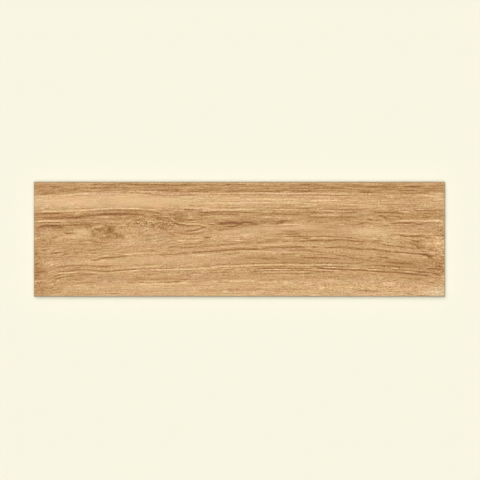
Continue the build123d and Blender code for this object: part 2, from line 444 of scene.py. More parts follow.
# %% The knot and the inside of the flame
KNOT = [
    (34, 1.3, (-228, 17.4), (-222, 18.6), (-216, 19.2), (-211, 20), (-202, 20.6)),
    (-20, 1.6, (-224, 16.6), (-216, 15.6), (-209, 14.8)),
    (-24, 1.6, (-227, 12.4), (-220, 11.4)),
    (12, 1.0, (-214, 4.2), (-206, 5.2), (-199, 8)),
    (-28, 1.2, (-219, 1.8), (-208, 2.2), (-200, 3.4), (-194, 6)),
    (-18, 1.3, (-216, 12.2), (-207, 12.4), (-198, 11.8)),
    (-22, 1.3, (-203, 18), (-195, 16.4), (-187, 14.6)),
    (-20, 1.6, (-200, 11.4), (-191, 11)),
    (-26, 1.6, (-193, 8.6), (-185, 7.4)),
    (-18, 1.8, (-190, 5), (-178, 4.4)),
    (-18, 1.6, (-184, 6.6), (-173, 4.6)),
    (-22, 1.4, (-182, 2.2), (-174, 0.6)),
    (18, 1.6, (-175, 4), (-168, 4.6)),
    (12, 1.2, (-190, 12), (-182, 13)),
    (-20, 1.0, (-208, 21.6), (-197, 21)),
    (16, 1.2, (-189, 25.2), (-183, 25.8), (-177, 23.8), (-171, 21.2)),
    (14, 1.4, (-171, 28.5), (-165, 28.5)),
    (-24, 1.4, (-183, 17.2), (-176, 15.8)),
    (-12, 1.0, (-192, 29), (-181, 28.6)),
    (-22, 1.1, (-248, -1.8), (-234, -3.6)),
    (-18, 1.1, (-249, -3.6), (-244, -5.8), (-236, -7.6), (-226, -7.4)),
    (-20, 1.1, (-231, -1), (-219, -2)),
    (-18, 1.1, (-224, -4.4), (-204, -5.2)),
    (-14, 1.1, (-221, -8), (-209, -8.2)),
    (10, 1.1, (-243, -4.6), (-226, -4.6)),
    (-26, 1.0, (-158, 28.6), (-150, 29), (-144, 28.6)),
    (18, 1.0, (-158, 26.4), (-148, 27)),
    (-20, 1.0, (-148, 27.2), (-139, 27.4)),
    (-28, 1.2, (-160, 24), (-151, 23.6)),
    (-22, 1.0, (-150, 24), (-141, 24)),
    (-18, 1.0, (-158, 19.6), (-150, 19.5)),
    (14, 1.0, (-148, 18), (-141, 18)),
    (16, 1.4, (-141, 30.6), (-134, 28), (-128, 24.4)),
    (12, 1.0, (-141, 22.4), (-133, 23.6)),
    (-22, 1.0, (-136, 21.2), (-129, 20.4)),
    (14, 1.0, (-126, 37.6), (-119, 36.6)),
    (-26, 1.3, (-119, 17.2), (-109, 15.8)),
    (-16, 1.2, (-125, 17.6), (-113, 20.4)),
    (-14, 1.0, (-121, 22.8), (-113, 22.2)),
    (-18, 1.2, (-114, 34), (-105, 31)),
    (-16, 1.0, (-110, 32.6), (-104, 31.2)),
    (-24, 1.6, (-95, 29.4), (-88, 28.8)),
]

print(f"{len(KNOT)} lines of the knot")

# %% The dark lens
LENS = [
    (12, 1.0, (-52, 26), (-45, 26)),
    (24, 1.0, (-46, 24.2), (-36, 24.6)),
    (-24, 0.9, (-51, 23.2), (-43, 22.4), (-36, 22.2)),
    (-18, 1.0, (-47, 27.6), (-38, 28.2), (-26, 28)),
    (-30, 2.0, (-38, 23.4), (-28, 24.2), (-18, 25), (-8, 24.8), (2, 24.4)),
    (-22, 1.4, (-27, 27.4), (-16, 28), (-6, 27.4), (4, 27)),
    (-20, 1.1, (-34, 22.3), (-20, 22.7)),
    (-30, 1.2, (-26, 19.6), (-16, 19.6), (-6, 20), (4, 20.8), (16, 20.8)),
    (16, 0.9, (-22, 21.3), (-12, 21.8), (-4, 22)),
    (-36, 1.4, (-4, 25.8), (5, 25.9), (14, 26), (24, 26.6)),
    (-26, 1.5, (-6, 22.8), (1, 23), (7, 23.4)),
    (-18, 1.4, (5, 21.6), (14, 22), (22, 22.6), (33, 23)),
    (-16, 1.4, (16, 24), (24, 23.4), (32, 22.6)),
    (20, 1.0, (5, 23.7), (14, 23.6)),
    (-16, 1.0, (18, 27.6), (30, 27.4)),
    (22, 1.0, (-5, 19.7), (6, 19.4)),
    (-24, 0.8, (-5, 18.2), (6, 18)),
    (-28, 1.2, (-36, 14.2), (-22, 13.5)),
    (-20, 1.0, (-33, 15.5), (-20, 15.4), (-10, 15)),
    (-16, 1.4, (-50, 12.8), (-40, 13.5)),
    (-18, 1.4, (26, 27), (38, 27), (48, 27.6), (58, 27.4), (66, 28), (74, 27.6), (84, 27.4)),
    (-18, 2.0, (57, 25.4), (65, 26.6), (72, 28)),
    (-26, 1.1, (40, 22.7), (52, 22.8), (60, 24), (68, 24.6)),
    (30, 1.1, (58, 22.1), (68, 22.8), (76, 22.6), (85, 22.8), (97, 22.7)),
    (12, 1.2, (38, 20.8), (50, 20.9), (62, 21.4)),
    (14, 1.2, (78, 20), (90, 19.6), (104, 20)),
    (-14, 0.8, (66, 21), (78, 21.3), (94, 21.4)),
    (14, 1.0, (82, 26), (91, 25.6)),
    (-18, 1.2, (101, 26.8), (111, 28.4)),
    (-16, 1.1, (110, 26.7), (124, 26.2), (137, 25.9)),
    (14, 1.0, (126, 24.2), (136, 24)),
    (28, 1.0, (149, 22.9), (160, 22.5)),
    (-18, 1.3, (124, 18.5), (136, 18), (150, 17.6)),
    (-20, 1.0, (161, 22.5), (172, 22), (182, 23), (190, 25.6), (200, 26.2)),
    (-14, 0.9, (90, 14.7), (99, 15.5)),
]

print(f"{len(LENS)} lines of the lens")

# %% Streaks right of the flame
UPPER_STREAKS = [
    (-26, 1.0, (-90, 45.4), (-75, 45.5), (-62, 45.4)),
    (14, 1.2, (-85, 47), (-70, 47), (-56, 47.2), (-42, 46.9)),
    (24, 1.2, (-61, 44), (-45, 44.5), (-28, 44.8), (-10, 45), (0, 45.6), (10, 45), (24, 45)),
    (16, 1.0, (-8, 45.3), (0, 45.7), (6, 45.3)),
    (-28, 1.2, (-65, 42), (-50, 41), (-40, 41.6), (-28, 42), (-12, 41.7), (2, 41.6), (14, 41.2),
     (24, 41.7)),
    (-18, 0.9, (-20, 47.4), (-5, 47.3), (12, 47.6)),
    (-24, 1.2, (-65, 38), (-58, 36.6), (-51, 36.3)),
    (-22, 1.1, (-48, 38), (-30, 38.4), (-15, 38), (0, 38)),
    (10, 1.6, (-52, 32.5), (-30, 33.4), (-6, 32.8)),
    (20, 1.6, (-79, 33.5), (-71, 33.5)),
    (-14, 1.1, (0, 34.6), (14, 34.6)),
    (-20, 1.0, (36, 47.4), (55, 47.3), (75, 47.4), (96, 47), (124, 47)),
    (-20, 1.0, (94, 47), (109, 46.8)),
    (18, 1.0, (36, 46), (46, 46.2), (58, 45.3), (72, 45.2), (82, 45.8), (93, 45.2)),
    (-36, 1.0, (124, 45.4), (135, 45.5), (150, 45.2), (165, 45.3), (178, 45.1), (192, 44.2)),
    (18, 1.0, (128, 43), (138, 43.2), (150, 42.8)),
    (-22, 0.7, (73, 43.7), (84, 43.6)),
    (-20, 1.6, (47, 41.2), (58, 41.6)),
    (-18, 1.2, (78, 40.8), (95, 40.8), (112, 40.9), (124, 40.5), (136, 40.8), (146, 40.5)),
    (-20, 1.2, (126, 40.7), (136, 40.8), (146, 40.5)),
    (-14, 1.2, (108, 40.9), (120, 40.6)),
    (-28, 1.1, (26, 37.5), (42, 37.8), (54, 38.4), (66, 37.9), (78, 37.7), (96, 38)),
    (22, 1.2, (107, 36.6), (120, 36.7), (138, 36.7), (156, 36.2)),
    (12, 1.4, (26, 33.6), (40, 33.8), (54, 33.4)),
    (-26, 1.3, (102, 33.7), (114, 34), (126, 33.5), (140, 33.9), (160, 34), (178, 34.3), (194, 34.8)),
    (-12, 1.2, (120, 33.5), (137, 33.8)),
    (-14, 1.1, (36, 30.1), (47, 30.4)),
    (-30, 1.2, (145, 40), (160, 40), (172, 40.2), (184, 40)),
    (14, 0.9, (148, 46.8), (162, 47), (172, 47)),
    (-26, 0.9, (198, 46.8), (211, 46.9)),
    (-18, 0.8, (226, 45.4), (237, 45.4)),
    (-34, 1.2, (198, 43.6), (205, 41.6), (213, 40.8), (224, 41), (234, 40.8), (242, 39.9), (253, 39)),
    (28, 1.1, (241, 41.8), (250, 41.6), (261, 41.8)),
    (-24, 0.8, (245, 44), (259, 44)),
    (-36, 1.0, (262, 43.6), (272, 43.8), (287, 43.8), (300, 44), (313, 43.8)),
    (-26, 0.9, (261, 46.9), (275, 47), (295, 47)),
    (28, 1.0, (265, 45.4), (285, 45.4)),
    (-38, 1.4, (210, 36.4), (215, 35), (220, 33.8)),
    (-28, 1.3, (217.5, 37), (220.5, 33.4), (223.5, 29)),
    (-22, 1.2, (238, 36.2), (243, 33.6), (248, 30.4)),
    (-36, 1.4, (191, 30.3), (204, 29.9)),
    (-14, 1.1, (203, 28.9), (213, 28.3)),
    (18, 1.4, (210, 33.8), (216, 31.8), (222, 27.6)),
    (16, 1.2, (219, 25.8), (228, 23)),
    (-34, 1.1, (225, 23.6), (236, 24.7), (244, 25.4), (254, 24.8), (266, 25.6), (272, 25.6)),
    (-28, 1.1, (216, 20.4), (229, 21.4)),
    (24, 1.2, (232, 27.4), (250, 28), (265, 28.2), (280, 28), (296, 28.3), (313, 28.6)),
    (-24, 1.0, (264, 22.9), (284, 22.8)),
    (-20, 1.4, (293, 19.4), (303, 17.8), (313, 16.4)),
    (10, 1.1, (193, 21.4), (200, 20.2), (208, 19)),
]

print(f"{len(UPPER_STREAKS)} streaks right of the flame")

# %% Lines of the middle
MIDDLE_LINES = [
    (-84, 1.0, (-57, 3), (-41, 2.9)),
    (12, 1.0, (-54, 0.9), (-44, 1.5), (-33, 1)),
    (10, 1.1, (-30, 2.5), (-13, 3)),
    (-14, 0.8, (-80, 0.7), (-68, 1), (-60, 2), (-54, 3)),
    (30, 1.2, (-97, -2.2), (-86, -1.7), (-78, -1.8)),
    (12, 1.0, (-114, 0), (-98, 0.3)),
    (16, 1.0, (-74, -3), (-64, -2.2), (-50, -1.6)),
    (18, 1.1, (-1, 6), (10, 6.2), (21, 6.3)),
    (14, 1.2, (0, 3), (12, 2.8), (23, 2.4)),
    (22, 1.1, (-13, -1.6), (0, -1.6), (12, -1.8)),
    (-20, 0.9, (-28, -3.5), (-12, -3.4), (4, -3.3)),
    (-18, 1.0, (-3, -5.5), (12, -4.8), (24, -4.9)),
    (-32, 1.0, (24, -4.7), (37, -4.8)),
    (-24, 1.1, (-38, -9), (-24, -8.4), (-10, -7.5), (1, -7.2)),
    (12, 1.1, (-2, -8.2), (9, -7.8)),
    (-14, 1.6, (-90, -7), (-75, -7.4), (-60, -6.4), (-49, -5.8)),
    (-22, 1.4, (-114, -12.2), (-98, -11.4), (-86, -11.4), (-74, -12.2), (-60, -11.5), (-46, -10.5),
     (-40, -10)),
    (14, 1.3, (-34, -11), (-18, -11.4), (-6, -10.2), (6, -9.4)),
    (-14, 1.2, (-108, -7.6), (-97, -5.4)),
    (10, 1.3, (-140, -6.4), (-128, -5.6), (-114, -5)),
    (-24, 1.5, (60, 13.6), (70, 12.4), (80, 12), (92, 12.6)),
    (-12, 1.2, (92, 12), (108, 12.2), (124, 12)),
    (-14, 1.0, (26, 10.4), (44, 10.4)),
    (-22, 1.5, (52, 7.5), (65, 8), (76, 7.6), (86, 8.2), (96, 9.2)),
    (10, 1.0, (62, 6), (80, 6.2)),
    (-28, 1.0, (65, 4.5), (74, 4.2), (84, 4.7), (98, 4.3), (115, 4.2), (132, 4.4), (150, 3.6),
     (166, 2.8), (179, 1.5)),
    (-12, 1.1, (82, 4.7), (98, 4.4)),
    (20, 1.0, (107, 2.6), (119, 2.6)),
    (26, 1.0, (119, 2.7), (127, 3), (135, 2.5)),
    (10, 1.1, (26, 4), (40, 4.2), (60, 4)),
    (15, 1.1, (33, 2), (45, 2), (58, 1.8)),
    (20, 1.1, (67, 1.8), (81, 1.8)),
    (-34, 1.0, (88, 1), (98, 1.6), (108, 1.1)),
    (16, 0.9, (89, 0), (100, -0.3)),
    (-22, 0.9, (34, -0.2), (48, -0.1), (68, -0.2)),
    (-24, 1.1, (34, -2.9), (48, -3.2), (59, -2.9)),
    (-26, 1.0, (63, -3), (78, -3)),
    (-34, 1.2, (86, -2.8), (100, -2.4), (109, -1.6), (122, -1.6), (134, -1.6), (144, -0.8), (156, -0.7),
     (165, -1.7), (174, -2.5), (186, -3), (198, -4.4)),
    (-20, 1.2, (105, -1.6), (121, -1.5)),
    (-20, 1.1, (126, -4.9), (136, -4.5)),
    (13, 1.4, (26, -7.8), (45, -8), (60, -7.6), (78, -5.8)),
    (14, 1.1, (107, -7), (119, -7)),
    (22, 1.0, (121, -6.5), (133, -6.1)),
    (-24, 1.1, (181, -5.6), (190, -6.9)),
    (22, 1.2, (200, 1.1), (210, 0.7)),
    (-20, 1.0, (206, 1.5), (215, 1.1)),
    (-18, 1.0, (198, -1.5), (210, -1.7), (223, -3.3)),
    (-26, 1.1, (195, -4.5), (206, -4.8), (213, -5.8), (220, -7.8), (230, -9.8), (240, -11), (253, -12.2)),
    (-14, 1.1, (224, 8), (240, 6.4)),
    (14, 1.2, (225, 10.2), (240, 9.8), (255, 9), (270, 8), (284, 8.2), (302, 8)),
    (-38, 1.3, (238, 6.4), (252, 5), (263, 4.7), (272, 4.8), (283, 4)),
    (-20, 1.2, (280, 3.4), (294, 2.8)),
    (-26, 1.1, (296, 6), (313, 6)),
    (-50, 1.4, (257, -0.6), (266, -2.6), (271, -3.2), (280, -2.4)),
    (-26, 1.7, (257, -5), (264, -6), (268, -9), (272, -13.2), (277, -16)),
    (-30, 1.4, (273, -12.4), (283, -12.4)),
    (14, 1.1, (259, -3), (269, -5)),
    (14, 1.2, (282, -7.4), (295, -7.8)),
    (-14, 1.3, (282, -14.4), (291, -16.6), (300, -17.6), (310, -16.5)),
]

LONG_LINE = [
    (-20, 0.9, (-112, -22.4), (-106, -22.8), (-98, -22.6)),
    (-18, 0.9, (-123, -24.6), (-111, -23.8)),
    (-38, 1.3, (-229, -31.2), (-216, -31), (-211, -29.2), (-205, -28.2), (-190, -27.3), (-178, -25.9),
     (-166, -25)),
    (-12, 1.2, (-168, -24.8), (-154, -24.6), (-138, -22.9)),
    (-30, 1.1, (-128, -24.4), (-112, -23), (-100, -22.8), (-88, -21.5), (-74, -20.8)),
    (-36, 1.4, (-76, -20.2), (-60, -19.4), (-50, -18.4), (-38, -17.9), (-28, -16.9), (-14, -16),
     (-4, -15), (8, -14.8), (20, -15.1), (34, -15.3)),
    (-12, 1.3, (-8, -15), (8, -14.8), (22, -15.1), (33, -15.4)),
    (-28, 1.4, (28, -14.8), (36, -13.6), (44, -12.5), (54, -12), (66, -12.4), (80, -12), (94, -12.2),
     (106, -13.8)),
    (-22, 1.0, (82, -10.3), (92, -11), (102, -10.5)),
    (-22, 1.3, (108, -11.7), (121, -12.1)),
    (-34, 1.5, (128, -12), (142, -12.2), (152, -11.9), (165, -13), (178, -14.3), (192, -15.1),
     (208, -15.7), (218, -17.4), (236, -18.6)),
    (-42, 1.3, (230, -18.6), (245, -19.8), (258, -20.7), (268, -21.4), (277, -22.9), (285, -23.7),
     (291, -25.3), (297, -27.6)),
    (-16, 1.4, (275, -22.6), (288, -24.2)),
    (-32, 1.7, (282, -25.4), (290, -27.4), (296, -28.8)),
    (-26, 1.6, (299, -26.6), (313, -26.6)),
    (-34, 1.3, (277, -22.4), (288, -23.8)),
    (-26, 1.4, (289, -24.2), (301, -25.6)),
    (16, 1.1, (-212, -26.4), (-203, -24.6), (-194, -23.6)),
    (22, 1.2, (-215, -31.6), (-202, -32.2)),
    (28, 1.0, (-180, -22.9), (-166, -22.9), (-154, -21.6), (-141, -20.8)),
    (22, 1.2, (-123, -18), (-109, -18)),
    (-14, 1.0, (-124, -19.8), (-110, -20.1)),
    (-12, 1.1, (-185, -19.4), (-168, -20.5)),
    (-12, 1.1, (-139, -17.2), (-125, -16)),
    (14, 1.6, (-80, -23), (-62, -24.3), (-40, -24)),
    (12, 1.2, (-24, -18.6), (-11, -18.5)),
    (13, 1.6, (-4, -18), (12, -17.8), (30, -18.4), (60, -18.8), (84, -18.6)),
    (-16, 1.0, (-20, -22.6), (-8, -22.8)),
    (-24, 1.1, (65, -16.6), (78, -16.8), (90, -16.2), (102, -16.8), (112, -18.8), (122, -19.6),
     (133, -21.3), (143, -22.4), (154, -24.5), (168, -24.9), (184, -24)),
    (14, 1.0, (47, -21.3), (57, -21)),
    (-14, 1.1, (28, -24), (45, -24.2)),
    (-18, 1.1, (58, -24.2), (68, -22.9), (78, -23.1), (90, -22.4)),
    (-22, 1.0, (107, -23), (122, -23), (135, -23.5)),
    (18, 1.0, (81, -24.4), (95, -24.3)),
    (10, 1.0, (108, -21.4), (125, -21.4)),
    (10, 1.4, (118, -17), (132, -16.5), (150, -16)),
    (16, 1.0, (263, -19.5), (273, -19.9)),
    (16, 1.1, (237, -22.8), (249, -22.8), (263, -23)),
    (-16, 1.0, (215, -21.1), (226, -21.5)),
    (-28, 1.2, (193, -28.6), (206, -27.5)),
    (-28, 1.2, (207, -25.6), (218, -27.6), (230, -28.1)),
]

print(f"{len(MIDDLE_LINES + LONG_LINE)} lines of the middle")

# %% Arcs of the lower half
LOWER_ARCS = [
    (-22, 1.4, (2, -28.7), (20, -28), (34, -28.6), (43, -29.3), (62, -28.3)),
    (-18, 1.6, (33, -28.7), (46, -29.2)),
    (-26, 1.3, (89, -27.2), (102, -27.8), (114, -28.2), (130, -28.1), (142, -28.9), (156, -28.4)),
    (-18, 1.2, (-11, -29.8), (3, -31.2)),
    (-22, 1.3, (-313, -38.4), (-302, -36.2)),
    (-18, 1.2, (-313, -43), (-304, -42.6)),
    (-16, 2.0, (-313, -48.8), (-305, -49.6), (-297, -48.6), (-288, -45.4)),
    (-28, 1.2, (-284, -43.2), (-276, -42.4), (-264, -40.6), (-250, -39.6), (-236, -39.5), (-222, -40.2),
     (-206, -41.3), (-188, -40.7)),
    (-20, 1.0, (-259, -43), (-248, -42.8), (-237, -43)),
    (10, 1.0, (-281, -44), (-270, -44.5), (-259, -42.8)),
    (18, 1.0, (-243, -44.5), (-229, -43.9)),
    (-34, 1.1, (-280, -49.8), (-268, -48.8), (-258, -48), (-248, -46.6), (-234, -45.8), (-226, -46.6),
     (-219, -47.8), (-204, -48.8), (-194, -48.2), (-184, -47.2), (-170, -46), (-150, -45.3)),
    (-14, 1.1, (-212, -48), (-203, -48.7), (-190, -47.8), (-172, -46.2), (-151, -45.4)),
    (26, 1.0, (-281, -51.5), (-268, -51), (-255, -50.4), (-241, -49.5)),
    (22, 0.9, (-280, -58), (-271, -55.4), (-263, -53.9), (-253, -53.1)),
    (16, 1.0, (-231, -49.3), (-220, -50.5), (-206, -50.8), (-192, -50.2), (-176, -49.4)),
    (-24, 1.1, (-293, -59.6), (-284, -57.6), (-278, -55.7), (-270, -53.7), (-258, -52.6), (-248, -51.5),
     (-236, -51.1)),
    (-12, 1.0, (-285, -58), (-274, -54.8), (-261, -52.4)),
    (-12, 1.0, (-283, -60.8), (-272, -58.2), (-261, -55.6)),
    (-26, 1.1, (-289, -62.2), (-280, -60.4), (-274, -59.1), (-268, -57.2), (-258, -55.6), (-246, -54.6),
     (-234, -53.5), (-214, -53)),
    (-14, 1.1, (-251, -59.2), (-240, -57.4), (-229, -57.6)),
    (-28, 1.0, (-313, -55), (-302, -54.6)),
    (32, 1.0, (-169, -48.1), (-158, -47.4), (-149, -46.8)),
    (18, 1.2, (-174, -43.6), (-160, -42.4), (-144, -41.8), (-130, -40.7), (-114, -39.8)),
    (-16, 1.1, (-163, -39), (-151, -38.8)),
    (-14, 1.1, (-151, -38), (-125, -38)),
    (-22, 1.0, (-153, -45.1), (-142, -44.3), (-122, -44.1), (-104, -43.7), (-94, -41.8)),
    (-19, 1.1, (-96, -43.4), (-80, -43.2), (-68, -42.8), (-56, -41.6), (-44, -40.4), (-30, -38.4),
     (-10, -37.9), (10, -37)),
    (23, 1.1, (-133, -45.1), (-119, -46.4), (-104, -45.9), (-90, -45.4), (-79, -45.6), (-66, -44.6),
     (-52, -44), (-36, -42), (-24, -41), (-4, -41), (8, -39.8), (24, -39), (36, -38.6)),
    (18, 1.1, (24, -39), (48, -38.4), (76, -38.3), (100, -38.4), (122, -38.7), (148, -38.5)),
    (12, 1.0, (-87, -45.5), (-79, -45.6), (-70, -45)),
    (-18, 1.1, (-155, -47.8), (-142, -49), (-126, -48.4), (-104, -48.4)),
    (-24, 1.1, (-86, -47.3), (-70, -47.9)),
    (-28, 1.1, (-53, -47.7), (-44, -47.4), (-34, -47), (-26, -45.8)),
    (-40, 1.0, (-29, -46), (-18, -46), (-5, -45.7)),
    (30, 0.9, (-28, -44.4), (-13, -44.2)),
    (-20, 1.0, (-34, -42.5), (-20, -42.8), (-6, -42.9), (6, -42)),
    (-22, 1.0, (-53, -50.6), (-38, -50.6), (-22, -50), (-8, -49)),
    (22, 1.1, (-80, -53.3), (-66, -53.4), (-52, -53.4)),
    (-18, 1.0, (-76, -51.5), (-58, -50.9)),
    (-18, 1.0, (-101, -55.9), (-85, -56.4)),
    (-20, 1.2, (-161, -58.1), (-143, -57.5)),
    (-14, 1.0, (-143, -53.4), (-124, -53)),
    (-22, 1.2, (4, -37.2), (20, -37), (36, -36.4), (64, -36), (90, -36.2), (116, -36.4), (146, -36.3),
     (176, -36.5), (194, -35.8)),
    (-16, 1.2, (89, -36.1), (103, -36.5)),
    (-26, 1.0, (19, -41), (32, -41), (48, -40.8), (74, -41.3)),
    (-32, 1.0, (104, -41), (118, -41.2), (128, -40.8), (139, -41), (152, -41.5), (166, -41.3)),
    (-38, 1.0, (21, -44.7), (34, -44.2), (57, -44), (80, -44.2), (100, -44.2), (115, -44.6)),
    (-44, 1.2, (114, -44.5), (122, -44), (131, -44.2), (140, -44.9), (154, -45.4), (164, -45.8),
     (180, -46.7), (200, -47.9)),
    (26, 1.0, (31, -46), (50, -45.9), (68, -45.9), (86, -46)),
    (26, 0.9, (116, -45.7), (124, -46.1), (133, -47.2), (142, -47.6), (156, -47.3)),
    (26, 1.0, (123, -42.5), (134, -43), (150, -42.5)),
    (-32, 1.0, (12, -48.8), (28, -48.1), (42, -47.7), (60, -47.5), (76, -47.3), (98, -47.4),
     (114, -48.2), (126, -49), (138, -48.8), (150, -48.5)),
    (12, 1.0, (31, -49.2), (60, -49), (90, -49), (112, -49.7)),
    (-20, 1.2, (11, -51.7), (40, -52), (62, -51.6), (90, -51.8), (122, -51.6)),
    (11, 1.2, (38, -54), (60, -53.6), (84, -53.6)),
]

RIGHT_ARCS = [
    (-24, 1.4, (160, -26.2), (175, -29), (192, -31.6), (212, -34)),
    (-24, 2.0, (220, -33.4), (235, -36), (250, -36.3), (268, -37)),
    (-28, 1.1, (184, -40), (204, -39.5), (218, -40), (236, -41.2), (256, -42)),
    (-34, 1.0, (236, -42.6), (246, -42.6)),
    (34, 1.0, (228, -43.8), (236, -44.3), (244, -43.9)),
    (28, 1.0, (165, -44.1), (175, -44), (185, -43.7)),
    (28, 1.0, (187, -46), (197, -45.6), (213, -46.3)),
    (-24, 0.9, (189, -43.9), (205, -44.2), (221, -44.5)),
    (-42, 1.3, (193, -47.8), (208, -48.7), (222, -49.7), (236, -50.3), (248, -51.6), (264, -52.7),
     (276, -53.7), (294, -56.4)),
    (26, 1.0, (247, -48.8), (256, -49.4), (267, -50.4)),
    (-32, 1.2, (225, -45.2), (240, -46.1), (256, -47.4), (266, -48.5), (278, -49.6), (295, -50.6)),
    (-34, 1.3, (281, -43.6), (292, -45), (302, -45.2), (313, -45.2)),
    (-36, 1.4, (295, -39.6), (305, -41.2), (313, -42.6)),
    (16, 1.1, (280, -42.3), (292, -42.7)),
    (-28, 1.3, (287, -50.6), (298, -52.6), (309, -54.6)),
    (12, 1.2, (277, -56.6), (289, -58.4)),
    (22, 1.2, (285, -61), (295, -64.4)),
    (-30, 1.2, (285, -64.8), (297, -65.7)),
    (-18, 1.3, (259, -59.8), (278, -60.7)),
    (18, 1.1, (209, -58.5), (220, -58.1)),
    (-14, 1.1, (241, -57.8), (255, -58.8)),
    (-16, 1.1, (197, -52.9), (209, -53.8)),
    (12, 1.1, (152, -52), (166, -52)),
    (-14, 1.0, (171, -55), (185, -55)),
]

print(f"{len(LOWER_ARCS + RIGHT_ARCS)} arcs of the lower half")

# %% Fine lines of the right-hand end
RIGHT_END = [
    (-22, 0.8, (229, 41), (238, 41)),
    (18, 0.9, (201, 28.6), (207, 25.4)),
    (-24, 0.9, (249, 24.5), (257, 24.4)),
    (20, 0.9, (249, 22.7), (257, 22.6)),
    (-20, 0.8, (243, 21.2), (256, 21.3)),
    (-24, 0.9, (266, 22.8), (274, 22.6), (282, 22.4)),
    (-16, 1.2, (225, 9), (234, 7.6), (244, 6.4), (254, 5.4)),
    (18, 0.8, (262, 7.2), (270, 7.2)),
    (16, 0.8, (253, 2.3), (261, 2.3)),
    (-22, 1.4, (267, -8), (271, -12), (275, -16)),
    (-20, 1.2, (277, -17.2), (284, -19.4)),
    (-18, 1.0, (283, -16.6), (288, -14.8), (295, -15.6)),
    (-18, 1.1, (172, -14.2), (181, -14.3), (190, -14.8)),
    (-18, 0.9, (200, -1.2), (212, -2), (220, -3.4)),
    (16, 0.9, (211, -4), (223, -5)),
    (-16, 0.9, (221, -5.2), (229, -2.8)),
    (-22, 1.1, (215, -26.6), (222, -27.4), (230, -27.8)),
    (-26, 1.2, (282, -25.4), (288, -27.2), (293, -27.6)),
    (-20, 0.9, (192, -44), (201, -44.2)),
    (-22, 0.8, (202, -44), (210, -44)),
    (22, 0.9, (201, -45.6), (211, -45.8)),
    (-18, 0.9, (230, -45.6), (241, -45.8)),
    (-26, 0.9, (271, -49), (277, -49.6), (284, -49.4)),
    (-18, 1.0, (280, -54.6), (286, -57.4), (292, -61)),
    (16, 0.9, (282, -53.8), (288, -57), (294, -60.6)),
    (-20, 1.0, (290, -51), (297, -52.2), (303, -55), (309, -58.4)),
    (16, 1.2, (188, -66.4), (202, -67)),
    (16, 1.0, (224, -66), (233, -66.2)),
    (-18, 1.0, (232, -62), (239, -64)),
]

print(f"{len(RIGHT_END)} fine lines of the right-hand end")

# %% Lines of the bottom band
BOTTOM_BAND = [
    (-24, 0.8, (-313, -86.6), (313, -86.6)),
    (-24, 0.9, (-313, -86.5), (-293, -86.5)),
    (-20, 0.9, (-276, -86.5), (-243, -86.5)),
    (-20, 0.9, (-40, -86.5), (-6, -86.5)),
    (-32, 0.9, (86, -86.4), (125, -86.4)),
    (-18, 1.8, (-313, -66.5), (-302, -66.5), (-292, -65.2)),
    (16, 1.4, (-313, -63), (-296, -63)),
    (12, 1.1, (-306, -69.2), (-295, -68)),
    (-18, 1.1, (-292, -66.6), (-284, -64), (-274, -61)),
    (16, 1.1, (-291, -69.8), (-282, -67.4), (-273, -65.4)),
    (-20, 1.1, (-286, -71.6), (-278, -68.6), (-270, -67)),
    (12, 1.1, (-285, -73.6), (-273, -71)),
    (-22, 1.0, (-274, -66.8), (-266, -67.7)),
    (-26, 1.0, (-267, -65.6), (-260, -65.5)),
    (-24, 0.9, (-283, -57.4), (-276, -55.8)),
    (20, 1.2, (-279, -63), (-273, -62)),
    (-26, 1.2, (-282, -67.4), (-277, -65.2)),
    (-24, 1.0, (-292, -62.4), (-287, -60.8)),
    (-16, 1.2, (-279, -73.6), (-265, -75.2)),
    (-18, 1.1, (-253, -61.2), (-242, -62.6), (-233, -61)),
    (14, 1.0, (-251, -64), (-237, -64)),
    (-24, 1.0, (-253, -66.6), (-240, -65.8), (-228, -65), (-213, -65)),
    (-16, 1.2, (-232, -74.4), (-219, -72.6)),
    (16, 1.1, (-225, -70), (-213, -72.6)),
    (-26, 1.0, (-203, -63.8), (-193, -64.1)),
    (-24, 1.2, (-201, -82.4), (-182, -82.2)),
    (-20, 1.1, (-164, -63), (-152, -61.6), (-138, -61.1), (-118, -60.4), (-104, -60.4), (-88, -61),
     (-74, -61)),
    (-18, 1.1, (-171, -64.8), (-157, -66.9)),
    (-30, 1.0, (-154, -65.5), (-143, -65.1)),
    (-18, 1.0, (-145, -65.6), (-124, -65.4), (-104, -64.4), (-86, -63.8)),
    (-24, 1.1, (-101, -63.9), (-87, -63.9)),
    (20, 1.3, (-156, -67.6), (-140, -68.4), (-118, -67.4), (-108, -68), (-94, -66.6), (-74, -65.5)),
    (10, 1.2, (-144, -72), (-130, -72), (-118, -73.2)),
    (20, 1.3, (-47, -71.6), (-37, -71.6)),
    (18, 1.2, (-41, -64), (-31, -64)),
    (14, 1.2, (-27, -61.8), (-15, -62.8)),
    (-18, 1.3, (-36, -77.4), (-20, -77), (0, -76), (20, -75.8), (40, -76)),
    (18, 1.2, (-31, -79), (-13, -79)),
    (-16, 1.2, (50, -76), (65, -76.2), (78, -75.8), (94, -76.1)),
    (20, 1.4, (-20, -63), (0, -63), (12, -63.1), (28, -63.7)),
    (24, 1.3, (48, -63.8), (58, -63.8)),
    (22, 1.3, (64, -66.2), (74, -65.4), (84, -66.2)),
    (22, 1.2, (94, -69.3), (102, -68.4), (112, -68.2)),
    (20, 1.6, (118, -73.6), (132, -73.6)),
    (-16, 1.1, (109, -64.8), (119, -65.8)),
    (14, 1.2, (26, -78), (44, -78.5)),
    (18, 1.1, (106, -84.6), (122, -84.8)),
    (-12, 1.1, (72, -59.6), (90, -59.6)),
    (-22, 1.1, (172, -76.8), (190, -77.6), (201, -78.7), (216, -79.5)),
    (-22, 1.0, (251, -82.8), (266, -83.8)),
    (-26, 1.1, (266, -84.6), (280, -85.9), (296, -86.6)),
]

print(f"{len(BOTTOM_BAND)} lines of the bottom band")

